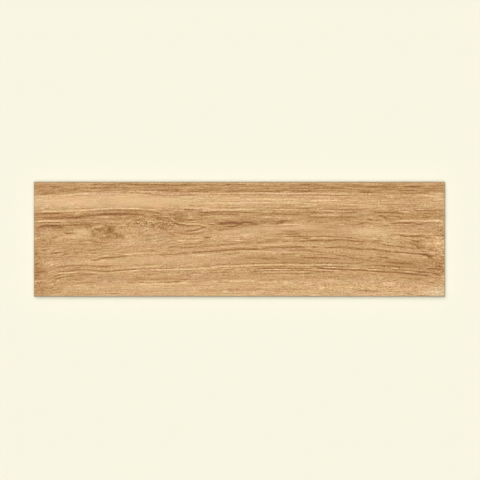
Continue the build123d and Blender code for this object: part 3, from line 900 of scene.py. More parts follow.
# %% How a line is drawn
# The taper at each end is a share of the line's length, up to a longest taper
LONGEST_TAPER, TAPER_SHARE = 10.0, 0.4
# How strongly dark and light lines show
DARK_STRENGTH, LIGHT_STRENGTH = 1.15, 1.3
# The opposite tone beside a line: its share, and its width in widths of the line
RIM_SHARE, RIM_WIDTH = 0.15, 2.4
DRAWN_LINES = (TOP_STREAKS + TOP_DASHES + PALE_BAND + FLAME_EDGE + LEFT_STREAKS + KNOT + LENS
               + UPPER_STREAKS + MIDDLE_LINES + LONG_LINE + LOWER_ARCS + RIGHT_ARCS + RIGHT_END + BOTTOM_BAND)


def smooth_height(x, points):
    """The height of a line at x: a cubic through its points, with slopes from the neighbouring points."""
    at_x = np.array([point[0] for point in points], float)
    at_y = np.array([point[1] for point in points], float)
    slope = np.gradient(at_y, at_x)
    span = np.clip(np.searchsorted(at_x, x) - 1, 0, len(at_x) - 2)
    step = at_x[span + 1] - at_x[span]
    t = np.clip((x - at_x[span]) / step, 0, 1)
    start = (1 + 2 * t) * (1 - t) ** 2 * at_y[span] + t * (1 - t) ** 2 * step * slope[span]
    end = t * t * (3 - 2 * t) * at_y[span + 1] + t * t * (t - 1) * step * slope[span + 1]
    return start + end


def drawn_line(x, y, tone, width, *points):
    """One line: its tone times a hump across it, less a wider rim, times a smooth taper at both ends."""
    start, end = points[0][0], points[-1][0]
    taper = min(LONGEST_TAPER, TAPER_SHARE * (end - start))
    along = np.clip(np.minimum(x - start, end - x) / taper, 0, 1)
    along = along * along * (3 - 2 * along)
    middle = smooth_height(x, points)
    across = (1 + RIM_SHARE) * hump(y, middle, width) - RIM_SHARE * hump(y, middle, RIM_WIDTH * width)
    strength = DARK_STRENGTH if tone < 0 else LIGHT_STRENGTH
    return strength * tone * along * across


def line_tone(x, y):
    """The sum of all the drawn lines."""
    tone = np.zeros_like(x)
    for line in DRAWN_LINES:
        tone = tone + drawn_line(x, y, *line)
    return tone


print(f"{len(DRAWN_LINES)} drawn lines")

# %% [markdown]
# ## The pressed relief
#
# The press stamps the grain into the clay, mostly a tenth of a millimetre or two deep. Bump shading
# alone would leave the mesh flat, so the relief is in the mesh: the dark lines are pressed in, fine
# fibres run between them along the flow, and the whole face has a slow hand-scraped swell. The relief
# only goes down from the measured face, so the plank keeps its thickness.

# %% How deep the face is pressed
# Depth of a dark line for each grey step, then depth, length and width of the fibres and of the swell
LINE_DEPTH_PER_STEP = 0.003
FIBRE_DEPTH, FIBRE_LONG, FIBRE_WIDE = 0.035, 22.0, 2.4
SWELL_DEPTH, SWELL_LONG, SWELL_WIDE = 0.05, 140.0, 26.0


def pressed_depth(x, y):
    """Depth below the measured face: dark lines by their tone, plus the fibres and the swell."""
    fibre = fibre_height(x, y)
    lines = LINE_DEPTH_PER_STEP * np.clip(-line_tone(x, y), 0, None)
    fibres = FIBRE_DEPTH * (1 + soft_noise(x / FIBRE_LONG, fibre / FIBRE_WIDE, seed=3))
    swell = SWELL_DEPTH * (1 + soft_noise(x / SWELL_LONG, fibre / SWELL_WIDE, seed=5))
    return np.clip(lines + fibres + swell, 0, None)


print(f"one grey step of a dark line is {LINE_DEPTH_PER_STEP} mm deep")

# %% [markdown]
# ## The face as a grid
#
# The face is a grid of points, close together across the grain and wider along it. The print and
# the flow are worked out at every point and kept in the mesh as attributes, which the material reads.
# The counts are whole multiples of the keys on the back, so that both sides share their edge points.

# %% Grid of the face
CORNER_RADIUS = 1.0
KEY_COLUMNS, KEY_ROWS = 25, 7
COLUMNS_PER_KEY, ROWS_PER_KEY = 12, 35
FACE_COLUMNS = COLUMNS_PER_KEY * KEY_COLUMNS + 1
FACE_ROWS = ROWS_PER_KEY * KEY_ROWS + 1

core_x = half_length - CORNER_RADIUS
core_y = half_width - CORNER_RADIUS
face_x, face_y = np.meshgrid(np.linspace(-core_x, core_x, FACE_COLUMNS),
                             np.linspace(-core_y, core_y, FACE_ROWS))
face_depth = pressed_depth(face_x, face_y)
face_points = np.stack([face_x, face_y, thickness - face_depth], axis=-1).reshape(-1, 3)

face_index = np.arange(FACE_ROWS * FACE_COLUMNS).reshape(FACE_ROWS, FACE_COLUMNS)


def grid_cells(index):
    """The four points of each cell of a grid, anticlockwise."""
    corners = [index[:-1, :-1], index[:-1, 1:], index[1:, 1:], index[1:, :-1]]
    return np.stack(corners, axis=-1).reshape(-1, 4)


face_quads = grid_cells(face_index)
print(f"face: {len(face_quads)} quads, pressed up to {face_depth.max():.2f} mm deep")

# %% [markdown]
# ## The edge as a profile carried round
#
# Below the face come the rounded arris, the upright land, the side that leans in so that the plank
# leaves its die, and a small chamfer at the back. That is one profile, carried round the plank: each
# border point of the face moves outwards and down through the profile's levels. At the corners the
# outward direction turns in a few steps, which rounds them.

# %% Slots round the border
CORNER_STEPS = 4


def four_sides(index):
    """The border of a grid of points, as four sides, anticlockwise from the lower one."""
    return [index[0, :], index[:, -1], index[-1, ::-1], index[::-1, 0]]


def border_slots():
    """The face point and outward direction of each slot: the four sides, with a fan at each corner."""
    points, angles = [], []
    for turn, side in enumerate(four_sides(face_index)):
        side_angle = math.radians(90 * turn - 90)
        fan = side_angle + np.linspace(0, np.pi / 2, CORNER_STEPS + 1)[1:-1]
        points += [side, np.full(len(fan), side[-1])]
        angles += [np.full(len(side), side_angle), fan]
    points, angles = np.concatenate(points), np.concatenate(angles)
    return points, np.stack([np.cos(angles), np.sin(angles)], axis=-1)


slot_point, slot_direction = border_slots()
slot_count = len(slot_point)
print(f"{slot_count} slots round the border")

# %% Levels of the edge profile
ARRIS_RADIUS, ARRIS_STEPS = 0.8, 5
LAND_HEIGHT = 3.0
SIDE_DRAFT = math.radians(4.0)
BACK_CHAMFER = 0.5
KEY_HEIGHT = 0.8

arris_angle = np.linspace(0, np.pi / 2, ARRIS_STEPS)
arris_out = CORNER_RADIUS - ARRIS_RADIUS * (1 - np.sin(arris_angle))
arris_up = thickness - ARRIS_RADIUS * (1 - np.cos(arris_angle))
land_bottom = thickness - ARRIS_RADIUS - LAND_HEIGHT
chamfer_top = KEY_HEIGHT + BACK_CHAMFER
lean_at_chamfer = (land_bottom - chamfer_top) * math.tan(SIDE_DRAFT)
lean_at_back = (land_bottom - KEY_HEIGHT) * math.tan(SIDE_DRAFT)
back_out = CORNER_RADIUS - lean_at_back - BACK_CHAMFER

level_out = np.array([*arris_out, CORNER_RADIUS, CORNER_RADIUS - lean_at_chamfer, back_out])
level_up = np.array([*arris_up, land_bottom, chamfer_top, KEY_HEIGHT])
relief_left = np.array([*np.cos(arris_angle), 0, 0, 0])
level_count = len(level_out)

ring_xy = face_points[slot_point, :2] + level_out[:, None, None] * slot_direction
ring_z = level_up[:, None] - relief_left[:, None] * face_depth.reshape(-1)[slot_point]
ring_points = np.concatenate([ring_xy, ring_z[..., None]], axis=-1).reshape(-1, 3)
ring_index = len(face_points) + np.arange(level_count * slot_count).reshape(level_count, slot_count)
print(f"edge: {level_count} levels from {level_up[0]:.1f} down to {level_up[-1]:.1f} mm")

# %% [markdown]
# ## The keyed back
#
# Low square keys stand on the back, for the adhesive to grip. One key is worked out and repeated in
# a lattice of square cells. Each cell has a flat channel round its key, leaning sides, a slightly worn
# edge and a flat bed. A strip of triangles joins the wide cells to the finer points of the edge.

# %% One key, and the lattice of cells
KEY_GAP, KEY_MARGIN = 6.0, 6.0
KEY_CORNER_RADIUS, KEY_CORNER_STEPS = 2.5, 3
KEY_DRAFT = math.radians(30.0)
KEY_WEAR = 0.15

back_half_x = half_length - lean_at_back
back_half_y = half_width - lean_at_back
field_half_x = back_half_x - KEY_MARGIN + KEY_GAP / 2
field_half_y = back_half_y - KEY_MARGIN + KEY_GAP / 2
pitch_x = 2 * field_half_x / KEY_COLUMNS
pitch_y = 2 * field_half_y / KEY_ROWS
key_half = np.array([pitch_x - KEY_GAP, pitch_y - KEY_GAP]) / 2

# Each ring of a key: how far in from its root, and its height
worn_inset = (KEY_HEIGHT - KEY_WEAR) * math.tan(KEY_DRAFT)
key_rings = [(0.0, KEY_HEIGHT), (worn_inset, KEY_WEAR), (worn_inset + KEY_WEAR, 0.0)]


def key_ring(inset, height):
    """A rounded rectangle at a height, anticlockwise: four corner arcs about the middles of its corners."""
    quarter = np.linspace(0, np.pi / 2, KEY_CORNER_STEPS + 1)
    angle = np.pi + np.arange(4)[:, None] * np.pi / 2 + quarter
    corner = np.array([(-1, -1), (1, -1), (1, 1), (-1, 1)]) * (key_half - KEY_CORNER_RADIUS)
    arc = (KEY_CORNER_RADIUS - inset) * np.stack([np.cos(angle), np.sin(angle)], axis=-1)
    flat = (corner[:, None, :] + arc).reshape(-1, 2)
    return np.column_stack([flat, np.full(len(flat), height)])


key_points = np.stack([key_ring(*ring) for ring in key_rings])
ring_size = key_points.shape[1]
lattice_x, lattice_y = np.meshgrid(np.linspace(-field_half_x, field_half_x, KEY_COLUMNS + 1),
                                   np.linspace(-field_half_y, field_half_y, KEY_ROWS + 1))
lattice_z = np.full_like(lattice_x, KEY_HEIGHT)
lattice_points = np.stack([lattice_x, lattice_y, lattice_z], axis=-1).reshape(-1, 3)
lattice_start = len(face_points) + len(ring_points)
lattice_index = lattice_start + np.arange(len(lattice_points)).reshape(KEY_ROWS + 1, KEY_COLUMNS + 1)

cell_middle_x = (lattice_x[:-1, :-1] + lattice_x[1:, 1:]) / 2
cell_middle_y = (lattice_y[:-1, :-1] + lattice_y[1:, 1:]) / 2
cell_middle_z = np.zeros_like(cell_middle_x)
cell_middle = np.stack([cell_middle_x, cell_middle_y, cell_middle_z], axis=-1).reshape(-1, 3)
all_key_points = cell_middle[:, None, None, :] + key_points
key_start = lattice_start + len(lattice_points)
key_index = key_start + np.arange(all_key_points[..., 0].size).reshape(all_key_points.shape[:-1])
print(f"back: {KEY_COLUMNS} by {KEY_ROWS} keys, {pitch_x:.2f} by {pitch_y:.2f} mm apart")

# %% [markdown]
# ## Faces and the bake map
#
# Every face lists its points so that it looks outwards. The flat map for baking is made with the
# faces: the printed face gets most of the picture and is stretched across the grain, where the
# detail is finest. The back gets a strip under it, and the edge is unrolled between the two.

# %% Places on the bake map
# Left, bottom, width and height of each area
FACE_MAP = (0.008, 0.31, 0.984, 0.682)
EDGE_MAP = (0.008, 0.245, 0.984, 0.05)
BACK_MAP = (0.008, 0.012, 0.984, 0.22)


def map_flat(points, area):
    """Map a point by its place on the plank: x along the area and y up it."""
    left, bottom, wide, high = area
    u = left + wide * (points[..., 0] + half_length) / (2 * half_length)
    v = bottom + high * (points[..., 1] + half_width) / (2 * half_width)
    return np.stack([u, v], axis=-1)


def map_edge(slot, level):
    """Map a point of the edge by its slot round the plank and by the length of profile down to its level."""
    left, bottom, wide, high = EDGE_MAP
    steps = np.hypot(np.diff(level_out), np.diff(level_up))
    down = np.concatenate([[0], np.cumsum(steps)])
    u = left + wide * slot / slot_count
    v = bottom + high * (1 - down[level] / down[-1])
    return np.stack(np.broadcast_arrays(u, v), axis=-1)


print("bake map: face above, edge between, back below")

# %% Faces of the edge
all_points = np.concatenate([face_points, ring_points, lattice_points, all_key_points.reshape(-1, 3)])
this_slot = np.arange(slot_count)
next_slot = np.roll(this_slot, -1)


def band_quads(upper, lower):
    """Quads between two rings of points, outside outwards."""
    return np.stack([lower[this_slot], lower[next_slot], upper[next_slot], upper[this_slot]], axis=-1)


def edge_band(level):
    """One band of the edge below a level, with its unrolled map."""
    quads = band_quads(ring_index[level], ring_index[level + 1])
    corners = [(this_slot, level + 1), (this_slot + 1, level + 1), (this_slot + 1, level), (this_slot, level)]
    return quads, np.stack([map_edge(*corner) for corner in corners], axis=1)


rim = band_quads(slot_point, ring_index[0])
turning = slot_point[this_slot] == slot_point[next_slot]
rim_quads = rim[~turning]
rim_corners = rim[turning][:, :3]
arris_quads = np.concatenate([band_quads(ring_index[k], ring_index[k + 1]) for k in range(ARRIS_STEPS - 1)])


def border_strip():
    """Triangles from the edge's last ring to the lattice's border: each coarse step takes an equal share."""
    fine = ring_index[-1]
    fine_counts = [FACE_COLUMNS, FACE_ROWS, FACE_COLUMNS, FACE_ROWS]
    triangles, start = [], 0
    for coarse, count in zip(four_sides(lattice_index), fine_counts):
        share = (count - 1) // (len(coarse) - 1)
        segment = np.arange(count - 1)
        nearest = coarse[(segment + share // 2) // share]
        triangles.append(np.stack([fine[start + segment], nearest, fine[start + segment + 1]], axis=-1))
        middle = fine[start + share * np.arange(len(coarse) - 1) + share - share // 2]
        triangles.append(np.stack([coarse[:-1], coarse[1:], middle], axis=-1))
        fan = start + count - 1 + np.arange(CORNER_STEPS)
        corner = np.full(CORNER_STEPS, coarse[-1])
        triangles.append(np.stack([fine[fan], corner, fine[(fan + 1) % slot_count]], axis=-1))
        start += count + CORNER_STEPS - 1
    return np.concatenate(triangles)


print(f"edge: {len(rim_quads) + len(arris_quads)} quads on the arris")

# %% Faces of the cells
def cell_faces():
    """Channel quads and corner triangles, key sides, and beds, for all the cells at once."""
    corners = grid_cells(lattice_index)
    root = key_index[:, 0].reshape(-1, 4, KEY_CORNER_STEPS + 1)
    first, last = root[:, :, 0], root[:, :, -1]
    channel = np.stack([corners, last, np.roll(first, -1, axis=1), np.roll(corners, -1, axis=1)], axis=-1)
    hub = np.broadcast_to(corners[:, :, None], root[:, :, :-1].shape)
    fans = np.stack([hub, root[:, :, :-1], root[:, :, 1:]], axis=-1)
    around = np.roll(np.arange(ring_size), -1)
    upper, lower = key_index[:, :-1], key_index[:, 1:]
    sides = np.stack([lower, lower[..., around], upper[..., around], upper], axis=-1)
    beds = key_index[:, -1, ::-1]
    return np.concatenate([channel.reshape(-1, 4), sides.reshape(-1, 4)]), fans.reshape(-1, 3), beds


back_quads, back_fans, back_beds = cell_faces()
back_triangles = np.concatenate([border_strip(), back_fans])
print(f"back: {len(back_quads)} quads, {len(back_triangles)} triangles, {len(back_beds)} beds")

# %% Join the faces into one mesh
GLAZE, BODY = 0, 1
face_groups = []
for flat_faces in (face_quads, rim_quads, rim_corners, arris_quads):
    face_groups.append((flat_faces, map_flat(all_points[flat_faces], FACE_MAP), GLAZE))
for side_level in range(ARRIS_STEPS - 1, level_count - 1):
    face_groups.append((*edge_band(side_level), BODY))
for flat_faces in (back_quads, back_triangles, back_beds):
    face_groups.append((flat_faces, map_flat(all_points[flat_faces], BACK_MAP), BODY))

plank_mesh = bpy.data.meshes.new("glazed_plank")
faces = [face for group, _, _ in face_groups for face in group.tolist()]
plank_mesh.from_pydata((all_points * MM).tolist(), [], faces)
materials = np.concatenate([np.full(len(group), which) for group, _, which in face_groups])
plank_mesh.polygons.foreach_set("material_index", materials.astype(np.int32))
bake_map = plank_mesh.uv_layers.new(name="OFBake")
bake_places = np.concatenate([places.reshape(-1) for _, places, _ in face_groups])
bake_map.data.foreach_set("uv", bake_places.astype(np.float32))
triangle_count = sum(len(face) - 2 for face in faces)
print(f"glazed_plank: {len(all_points)} points, {len(faces)} faces, {triangle_count} triangles")

# %% [markdown]
# ## Painted shade along the edges
#
# The print is mixed towards a grey along the border of the face. That grey is painted shade of the
# rounded arris, strongest at the lower and right edges, which face away from the lamp, and one corner
# is a little worn. It is one more value at each point: the share of the grey.

# %% The painted edge shade and the worn corner
# How far in from the border the painted shade reaches, and over what distance it fades
EDGE_REACH, EDGE_FADE = 2.4, 1.2
# The share of painted shade at the lower, right, upper and left edges
EDGE_SHADE_SHARES = (0.95, 0.8, 0.5, 0.25)
# The worn corner: middle x and y, reach along and across, share of the grey
WORN_CORNER = (310, -82, 20, 9, 0.3)


def edge_shade_and_worn_corner(x, y):
    """The share of grey: painted shade at each edge, full at the border and gone further in, or the worn
    corner's.
    """
    corner_x, corner_y, along, across, share = WORN_CORNER
    shade_and_wear = share * hump(x, corner_x, along) * hump(y, corner_y, across)
    inward = (half_width + y, half_length - x, half_width - y, half_length + x)
    for edge_shade, distance in zip(EDGE_SHADE_SHARES, inward):
        shade_and_wear = np.maximum(shade_and_wear, edge_shade * np.clip((EDGE_REACH - distance) / EDGE_FADE, 0, 1))
    return shade_and_wear


# This share is painted shade at the edges, and wear only at the corner
print(f"up to {max(EDGE_SHADE_SHARES):.0%} of the glaze is lost at the edges")

# %% [markdown]
# ## What the material reads
#
# The figure is worked out at the points of the mesh, so the material needs its values there: the tone,
# how lively the fibres are, the flow of the grain and the painted edge shade. Each is kept under a name.

# %% Keep the print and the flow in the mesh
def keep(name, kind, values):
    """Store one value or vector a point, for the material to read by name."""
    attribute = plank_mesh.attributes.new(name, kind, "POINT")
    field = "vector" if kind == "FLOAT_VECTOR" else "value"
    attribute.data.foreach_set(field, values.astype(np.float32).reshape(-1))


at_x, at_y = all_points[:, 0], all_points[:, 1]
# The share of painted shade along the edges, and of wear at one corner
keep("edge_shade_and_wear", "FLOAT", edge_shade_and_worn_corner(at_x, at_y))
figure = broad_tone(at_x, at_y) + line_tone(at_x, at_y)
keep("figure", "FLOAT", figure)
lively_fibres, lively_flecks = liveliness(at_x, at_y)
keep("lively_fibres", "FLOAT", lively_fibres)
keep("lively_flecks", "FLOAT", lively_flecks)
flow_points = np.stack([at_x, fibre_height(at_x, at_y), np.zeros_like(at_x)], axis=-1)
keep("fibre", "FLOAT_VECTOR", flow_points)
print(f"figure: {figure.min():.0f} to {figure.max():.0f} steps, spread {figure[:len(face_points)].std():.1f}")

# %% Put the plank into the frame
# Edges that turn by more than this stay sharp
SHARP_ANGLE = math.radians(38.0)
plank_mesh.polygons.foreach_set("use_smooth", np.ones(len(faces), bool))
plank_mesh.set_sharp_from_angle(angle=SHARP_ANGLE)
plank_mesh.validate()
plank = bpy.data.objects.new("glazed_plank", plank_mesh)
bpy.context.scene.collection.objects.link(plank)
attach(plank, "root")
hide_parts("plank_tile")
print(f"{plank.name} rides the root and stands for the solid")

# %% [markdown]
# ## Node helpers
#
# A material is a small machine of nodes. A few helpers keep it readable: they add a node with its
# settings and plug things into its inputs, do sums, mix colours, stretch a range of values, read what
# the mesh keeps, and write a printed colour as Blender wants it.

# %% Helpers for nodes
def add_node(tree, kind, settings=None, **inputs):
    """Add a node. Settings are its properties. Inputs are values, or the output sockets to plug in."""
    node = tree.nodes.new(kind)
    for name, value in (settings or {}).items():
        setattr(node, name, value)
    for name, value in inputs.items():
        by_number = name[0] == "i" and name[1:].isdigit()
        socket = node.inputs[int(name[1:]) if by_number else name]
        if isinstance(value, bpy.types.NodeSocket):
            tree.links.new(value, socket)
        else:
            socket.default_value = value
    return node


def math_node(tree, operation, first, second):
    """A sum, a product or another calculation on two values."""
    return add_node(tree, "ShaderNodeMath", {"operation": operation}, i0=first, i1=second).outputs[0]


def map_range(tree, value, low, high, to_low=0.0, to_high=1.0, shape="LINEAR"):
    """A value moved from one range to another, and held at its ends."""
    node = add_node(tree, "ShaderNodeMapRange", {"interpolation_type": shape},
                    i0=value, i1=low, i2=high, i3=to_low, i4=to_high)
    return node.outputs[0]


def mix_colours(tree, share, first, second):
    """The first colour, turned into the second one by a share."""
    return add_node(tree, "ShaderNodeMix", {"data_type": "RGBA"}, i0=share, i6=first, i7=second).outputs[2]


def read_kept(tree, name):
    """What the mesh keeps under a name."""
    return add_node(tree, "ShaderNodeAttribute", {"attribute_name": name}).outputs


print("helpers for nodes ready")

# %% Helpers for materials
def screen_colour(red, green, blue):
    """A colour in screen steps out of 255, turned into the linear light that materials use."""
    steps = np.clip(np.array([red, green, blue]) / 255, 0, 1)
    linear = np.where(steps <= 0.04045, steps / 12.92, ((steps + 0.055) / 1.055) ** 2.4)
    return (*linear.tolist(), 1.0)


def new_material(name):
    """A material with an empty tree, its surface shader and its output."""
    material = bpy.data.materials.new(name)
    material.use_nodes = True
    tree = material.node_tree
    tree.nodes.clear()
    shader = add_node(tree, "ShaderNodeBsdfPrincipled")
    add_node(tree, "ShaderNodeOutputMaterial", Surface=shader.outputs["BSDF"])
    return material, tree, shader


print("helpers for materials ready")

# %% [markdown]
# ## A shared mottle
#
# No fired surface is even: glaze and clay both drift a little in tone and gloss. The two materials
# share one node group for that, a slow cloud and a fine grain mixed by a named amount.

# %% The mottle group
MOTTLE_INPUTS = (("Cloud Scale", 20.0), ("Grain Scale", 400.0), ("Grain Share", 0.3))
CLOUD_DETAIL, GRAIN_DETAIL = 3.0, 2.0

mottle_group = bpy.data.node_groups.new("fired_mottle", "ShaderNodeTree")
mottle_group.interface.new_socket("Vector", in_out="INPUT", socket_type="NodeSocketVector")
for socket_name, socket_value in MOTTLE_INPUTS:
    socket = mottle_group.interface.new_socket(socket_name, in_out="INPUT", socket_type="NodeSocketFloat")
    socket.default_value = socket_value
mottle_group.interface.new_socket("Mottle", in_out="OUTPUT", socket_type="NodeSocketFloat")
mottle_in = mottle_group.nodes.new("NodeGroupInput").outputs
cloud = add_node(mottle_group, "ShaderNodeTexNoise", Vector=mottle_in["Vector"],
                 Scale=mottle_in["Cloud Scale"], Detail=CLOUD_DETAIL)
grain = add_node(mottle_group, "ShaderNodeTexNoise", Vector=mottle_in["Vector"],
                 Scale=mottle_in["Grain Scale"], Detail=GRAIN_DETAIL)
mottle_mix = add_node(mottle_group, "ShaderNodeMix", {"data_type": "FLOAT"}, i0=mottle_in["Grain Share"],
                      i2=cloud.outputs["Fac"], i3=grain.outputs["Fac"])
mottle_out = mottle_group.nodes.new("NodeGroupOutput")
mottle_group.links.new(mottle_mix.outputs[0], mottle_out.inputs["Mottle"])


def add_mottle(tree, vector, cloud_scale, grain_scale, grain_share):
    """Place the shared mottle in a material, with its own scales."""
    group = tree.nodes.new("ShaderNodeGroup")
    group.node_tree = mottle_group
    tree.links.new(vector, group.inputs["Vector"])
    group.inputs["Cloud Scale"].default_value = cloud_scale
    group.inputs["Grain Scale"].default_value = grain_scale
    group.inputs["Grain Share"].default_value = grain_share
    return group.outputs["Mottle"]


print("group fired_mottle ready")

# %% [markdown]
# ## The printed glaze
#
# The print is ink under a thin satin glaze. Its tone is the drawn figure from the mesh plus fine
# fibres, which are noise stretched along the flow: long threads, shorter fibres and small flecks.

# %% Fibres along the flow
# What they follow, their length and width in millimetres, and how strongly they show in grey steps
FIBRE_LAYERS = [
    ("lively_fibres", 90.0, 1.5, 6.0),
    ("lively_fibres", 30.0, 1.4, 8.5),
    ("lively_flecks", 9.0, 1.4, 9.5),
    ("lively_flecks", 2.8, 1.4, 13.5),
]
# Half the range of the noise over which a fibre turns from dark to light
FIBRE_SOFT = 0.16

glaze, tree, shader = new_material("printed_glaze")
flow = read_kept(tree, "fibre")["Vector"]


def flow_noise(long, wide):
    """Noise along the flow of the grain, stretched to a length and a width in millimetres."""
    stretched = add_node(tree, "ShaderNodeVectorMath", {"operation": "MULTIPLY"},
                         i0=flow, i1=(1 / long, 1 / wide, 0.0))
    return add_node(tree, "ShaderNodeTexNoise", {"noise_dimensions": "2D"},
                    Vector=stretched.outputs[0], Scale=1.0, Detail=1.0, Roughness=0.5).outputs


fibres = 0.0
for lively_name, fibre_long, fibre_wide, fibre_steps in FIBRE_LAYERS:
    threads = flow_noise(fibre_long, fibre_wide)["Fac"]
    layer = map_range(tree, threads, 0.5 - FIBRE_SOFT, 0.5 + FIBRE_SOFT,
                      -fibre_steps, fibre_steps, "SMOOTHSTEP")
    lively_layer = math_node(tree, "MULTIPLY", layer, read_kept(tree, lively_name)["Fac"])
    fibres = math_node(tree, "ADD", lively_layer, fibres)
print(f"{len(FIBRE_LAYERS)} layers of fibres and flecks")

# %% [markdown]
# ## The browns of the print
#
# The summed tone goes through a ramp of browns. The hue drifts slowly along the grain, as in real
# wood, and along the border of the face a grey is mixed in as painted shade. The surface adds a white
# sheen of its own, so each colour is written a little darker.

# %% From tone to brown
MIDDLE_TONE = (203, 160.5, 112)
TONE_REACH = 64
# How strongly a tone shifts the red, green and blue of the print
PRINT_STRENGTH = (1.01, 1.11, 1.14)
RAMP_STOPS = 5
SHEEN = 0.045


def without_sheen(colour):
    """A colour darkened by what the glaze will add to it: the white sheen of its surface."""
    return (*(max(0.0, (channel - SHEEN) / (1 - SHEEN)) for channel in colour[:3]), 1.0)


tone = math_node(tree, "ADD", read_kept(tree, "figure")["Fac"], fibres)
ramp = add_node(tree, "ShaderNodeValToRGB", Fac=map_range(tree, tone, -TONE_REACH, TONE_REACH))
stops = ramp.color_ramp.elements
stops.remove(stops[-1])
for number in range(RAMP_STOPS):
    place = number / (RAMP_STOPS - 1)
    stop = stops[0] if number == 0 else stops.new(place)
    shift = TONE_REACH * (2 * place - 1)
    printed = [middle + strength * shift for middle, strength in zip(MIDDLE_TONE, PRINT_STRENGTH)]
    stop.color = without_sheen(screen_colour(*printed))
print(f"a ramp of {len(stops)} browns")

# %% Drift of the hue, and the painted edge shade
# Slow drift of the hue: its length and width in millimetres, and the share that each colour strays
DRIFT_LONG, DRIFT_WIDE = 55.0, 14.0
HUE_DRIFT = (0.02, 0.025, 0.04)
# Nearly all of a noise lies between these
NOISE_LOW, NOISE_HIGH = 0.3, 0.7
# The grey of the painted shade along the edges, and of the body at the worn corner
SHADE_AND_WEAR_GREY = (170, 157, 133)

drift_tint = add_node(tree, "ShaderNodeMapRange", {"data_type": "FLOAT_VECTOR"},
                      i6=flow_noise(DRIFT_LONG, DRIFT_WIDE)["Color"],
                      i7=(NOISE_LOW, NOISE_LOW, NOISE_LOW), i8=(NOISE_HIGH, NOISE_HIGH, NOISE_HIGH),
                      i9=[1 - part for part in HUE_DRIFT], i10=[1 + part for part in HUE_DRIFT])
drifting = add_node(tree, "ShaderNodeVectorMath", {"operation": "MULTIPLY"},
                    i0=ramp.outputs["Color"], i1=drift_tint.outputs["Vector"])
# The print is mixed towards this grey by the kept share: painted shade at the edges, wear at one corner
shade_and_wear_grey = without_sheen(screen_colour(*SHADE_AND_WEAR_GREY))
print_with_shade_and_wear = mix_colours(tree, read_kept(tree, "edge_shade_and_wear")["Fac"], drifting.outputs[0], shade_and_wear_grey)
tree.links.new(print_with_shade_and_wear, shader.inputs["Base Color"])
print(f"hue strays by up to {max(HUE_DRIFT):.1%}")

# %% Gloss and dents
GLAZE_MOTTLE = (14.0, 600.0, 0.25)
GLAZE_ROUGH, GLAZE_ROUGH_SPREAD = 0.42, 0.16
GLAZE_SPECULAR = 0.35
# A fibre that is this many grey steps dark is dented this deep, in millimetres
DENT_STEPS, DENT_DEPTH = 30, 0.05

place = add_node(tree, "ShaderNodeTexCoord").outputs["Object"]
gloss = map_range(tree, add_mottle(tree, place, *GLAZE_MOTTLE), NOISE_LOW, NOISE_HIGH,
                  GLAZE_ROUGH - GLAZE_ROUGH_SPREAD / 2, GLAZE_ROUGH + GLAZE_ROUGH_SPREAD / 2)
tree.links.new(gloss, shader.inputs["Roughness"])
dents = add_node(tree, "ShaderNodeBump", Strength=1.0, Distance=DENT_DEPTH * MM / DENT_STEPS, Height=fibres)
tree.links.new(dents.outputs["Normal"], shader.inputs["Normal"])
shader.inputs["Specular IOR Level"].default_value = GLAZE_SPECULAR
plank_mesh.materials.append(glaze)
print("printed_glaze ready")

# %% [markdown]
# ## The fired body
#
# Sides and back are bare porcelain: a pale warm grey with small dark specks, dull and slightly
# rough. A little glaze has run over the arris, and the beds of the keys are dusted with the white
# wash that keeps the plank from sticking to the kiln's rollers.

# %% Clay and specks
BODY_PALE, BODY_DEEP = screen_colour(203, 188, 168), screen_colour(180, 163, 142)
BODY_MOTTLE = (30.0, 900.0, 0.45)
SPECK_COLOUR = screen_colour(112, 92, 74)
# Cells a metre with one speck each, and the parts of a cell where a speck begins and where it is full
SPECK_SCALE, SPECK_RIM, SPECK_CORE = 420.0, 0.16, 0.08

body, tree, shader = new_material("fired_body")
place = add_node(tree, "ShaderNodeTexCoord").outputs["Object"]
height = add_node(tree, "ShaderNodeSeparateXYZ", Vector=place).outputs["Z"]
body_mottle = add_mottle(tree, place, *BODY_MOTTLE)
clay = mix_colours(tree, body_mottle, BODY_DEEP, BODY_PALE)
specks = add_node(tree, "ShaderNodeTexVoronoi", Vector=place, Scale=SPECK_SCALE)
speck_mask = map_range(tree, specks.outputs["Distance"], SPECK_RIM, SPECK_CORE)
specked = mix_colours(tree, speck_mask, clay, SPECK_COLOUR)
print("clay and specks ready")

# %% Kiln wash on the beds
WASH_COLOUR = screen_colour(232, 228, 219)
WASH_MOTTLE = (60.0, 1500.0, 0.4)
# Heights in millimetres: no wash above the first, all of it below the second
WASH_TOP, WASH_FULL = 0.35, 0.05
# The range of the mottle over which the wash thickens, and its least and greatest cover
WASH_NOISE_LOW, WASH_NOISE_HIGH = 0.38, 0.55
WASH_LEAST, WASH_MOST = 0.15, 0.9

wash_cover = map_range(tree, add_mottle(tree, place, *WASH_MOTTLE), WASH_NOISE_LOW, WASH_NOISE_HIGH,
                       WASH_LEAST, WASH_MOST)
on_bed = map_range(tree, height, WASH_TOP * MM, WASH_FULL * MM)
washed = mix_colours(tree, math_node(tree, "MULTIPLY", on_bed, wash_cover), specked, WASH_COLOUR)
print("kiln wash ready")

# %% The run of glaze, and the surface of the body
RUN_COLOUR = screen_colour(182, 162, 133)
# How far the lower edge of the run wavers in millimetres, and the bends a metre
RUN_WAVER, RUN_SCALE, RUN_DETAIL = 1.6, 90.0, 2.0
# Height plus waver, in millimetres, where the run begins and where it is full
RUN_START, RUN_FULL = 8.2, 8.6
BODY_ROUGH = 0.78
BODY_BUMP_STRENGTH, BODY_BUMP_DEPTH = 0.6, 0.08

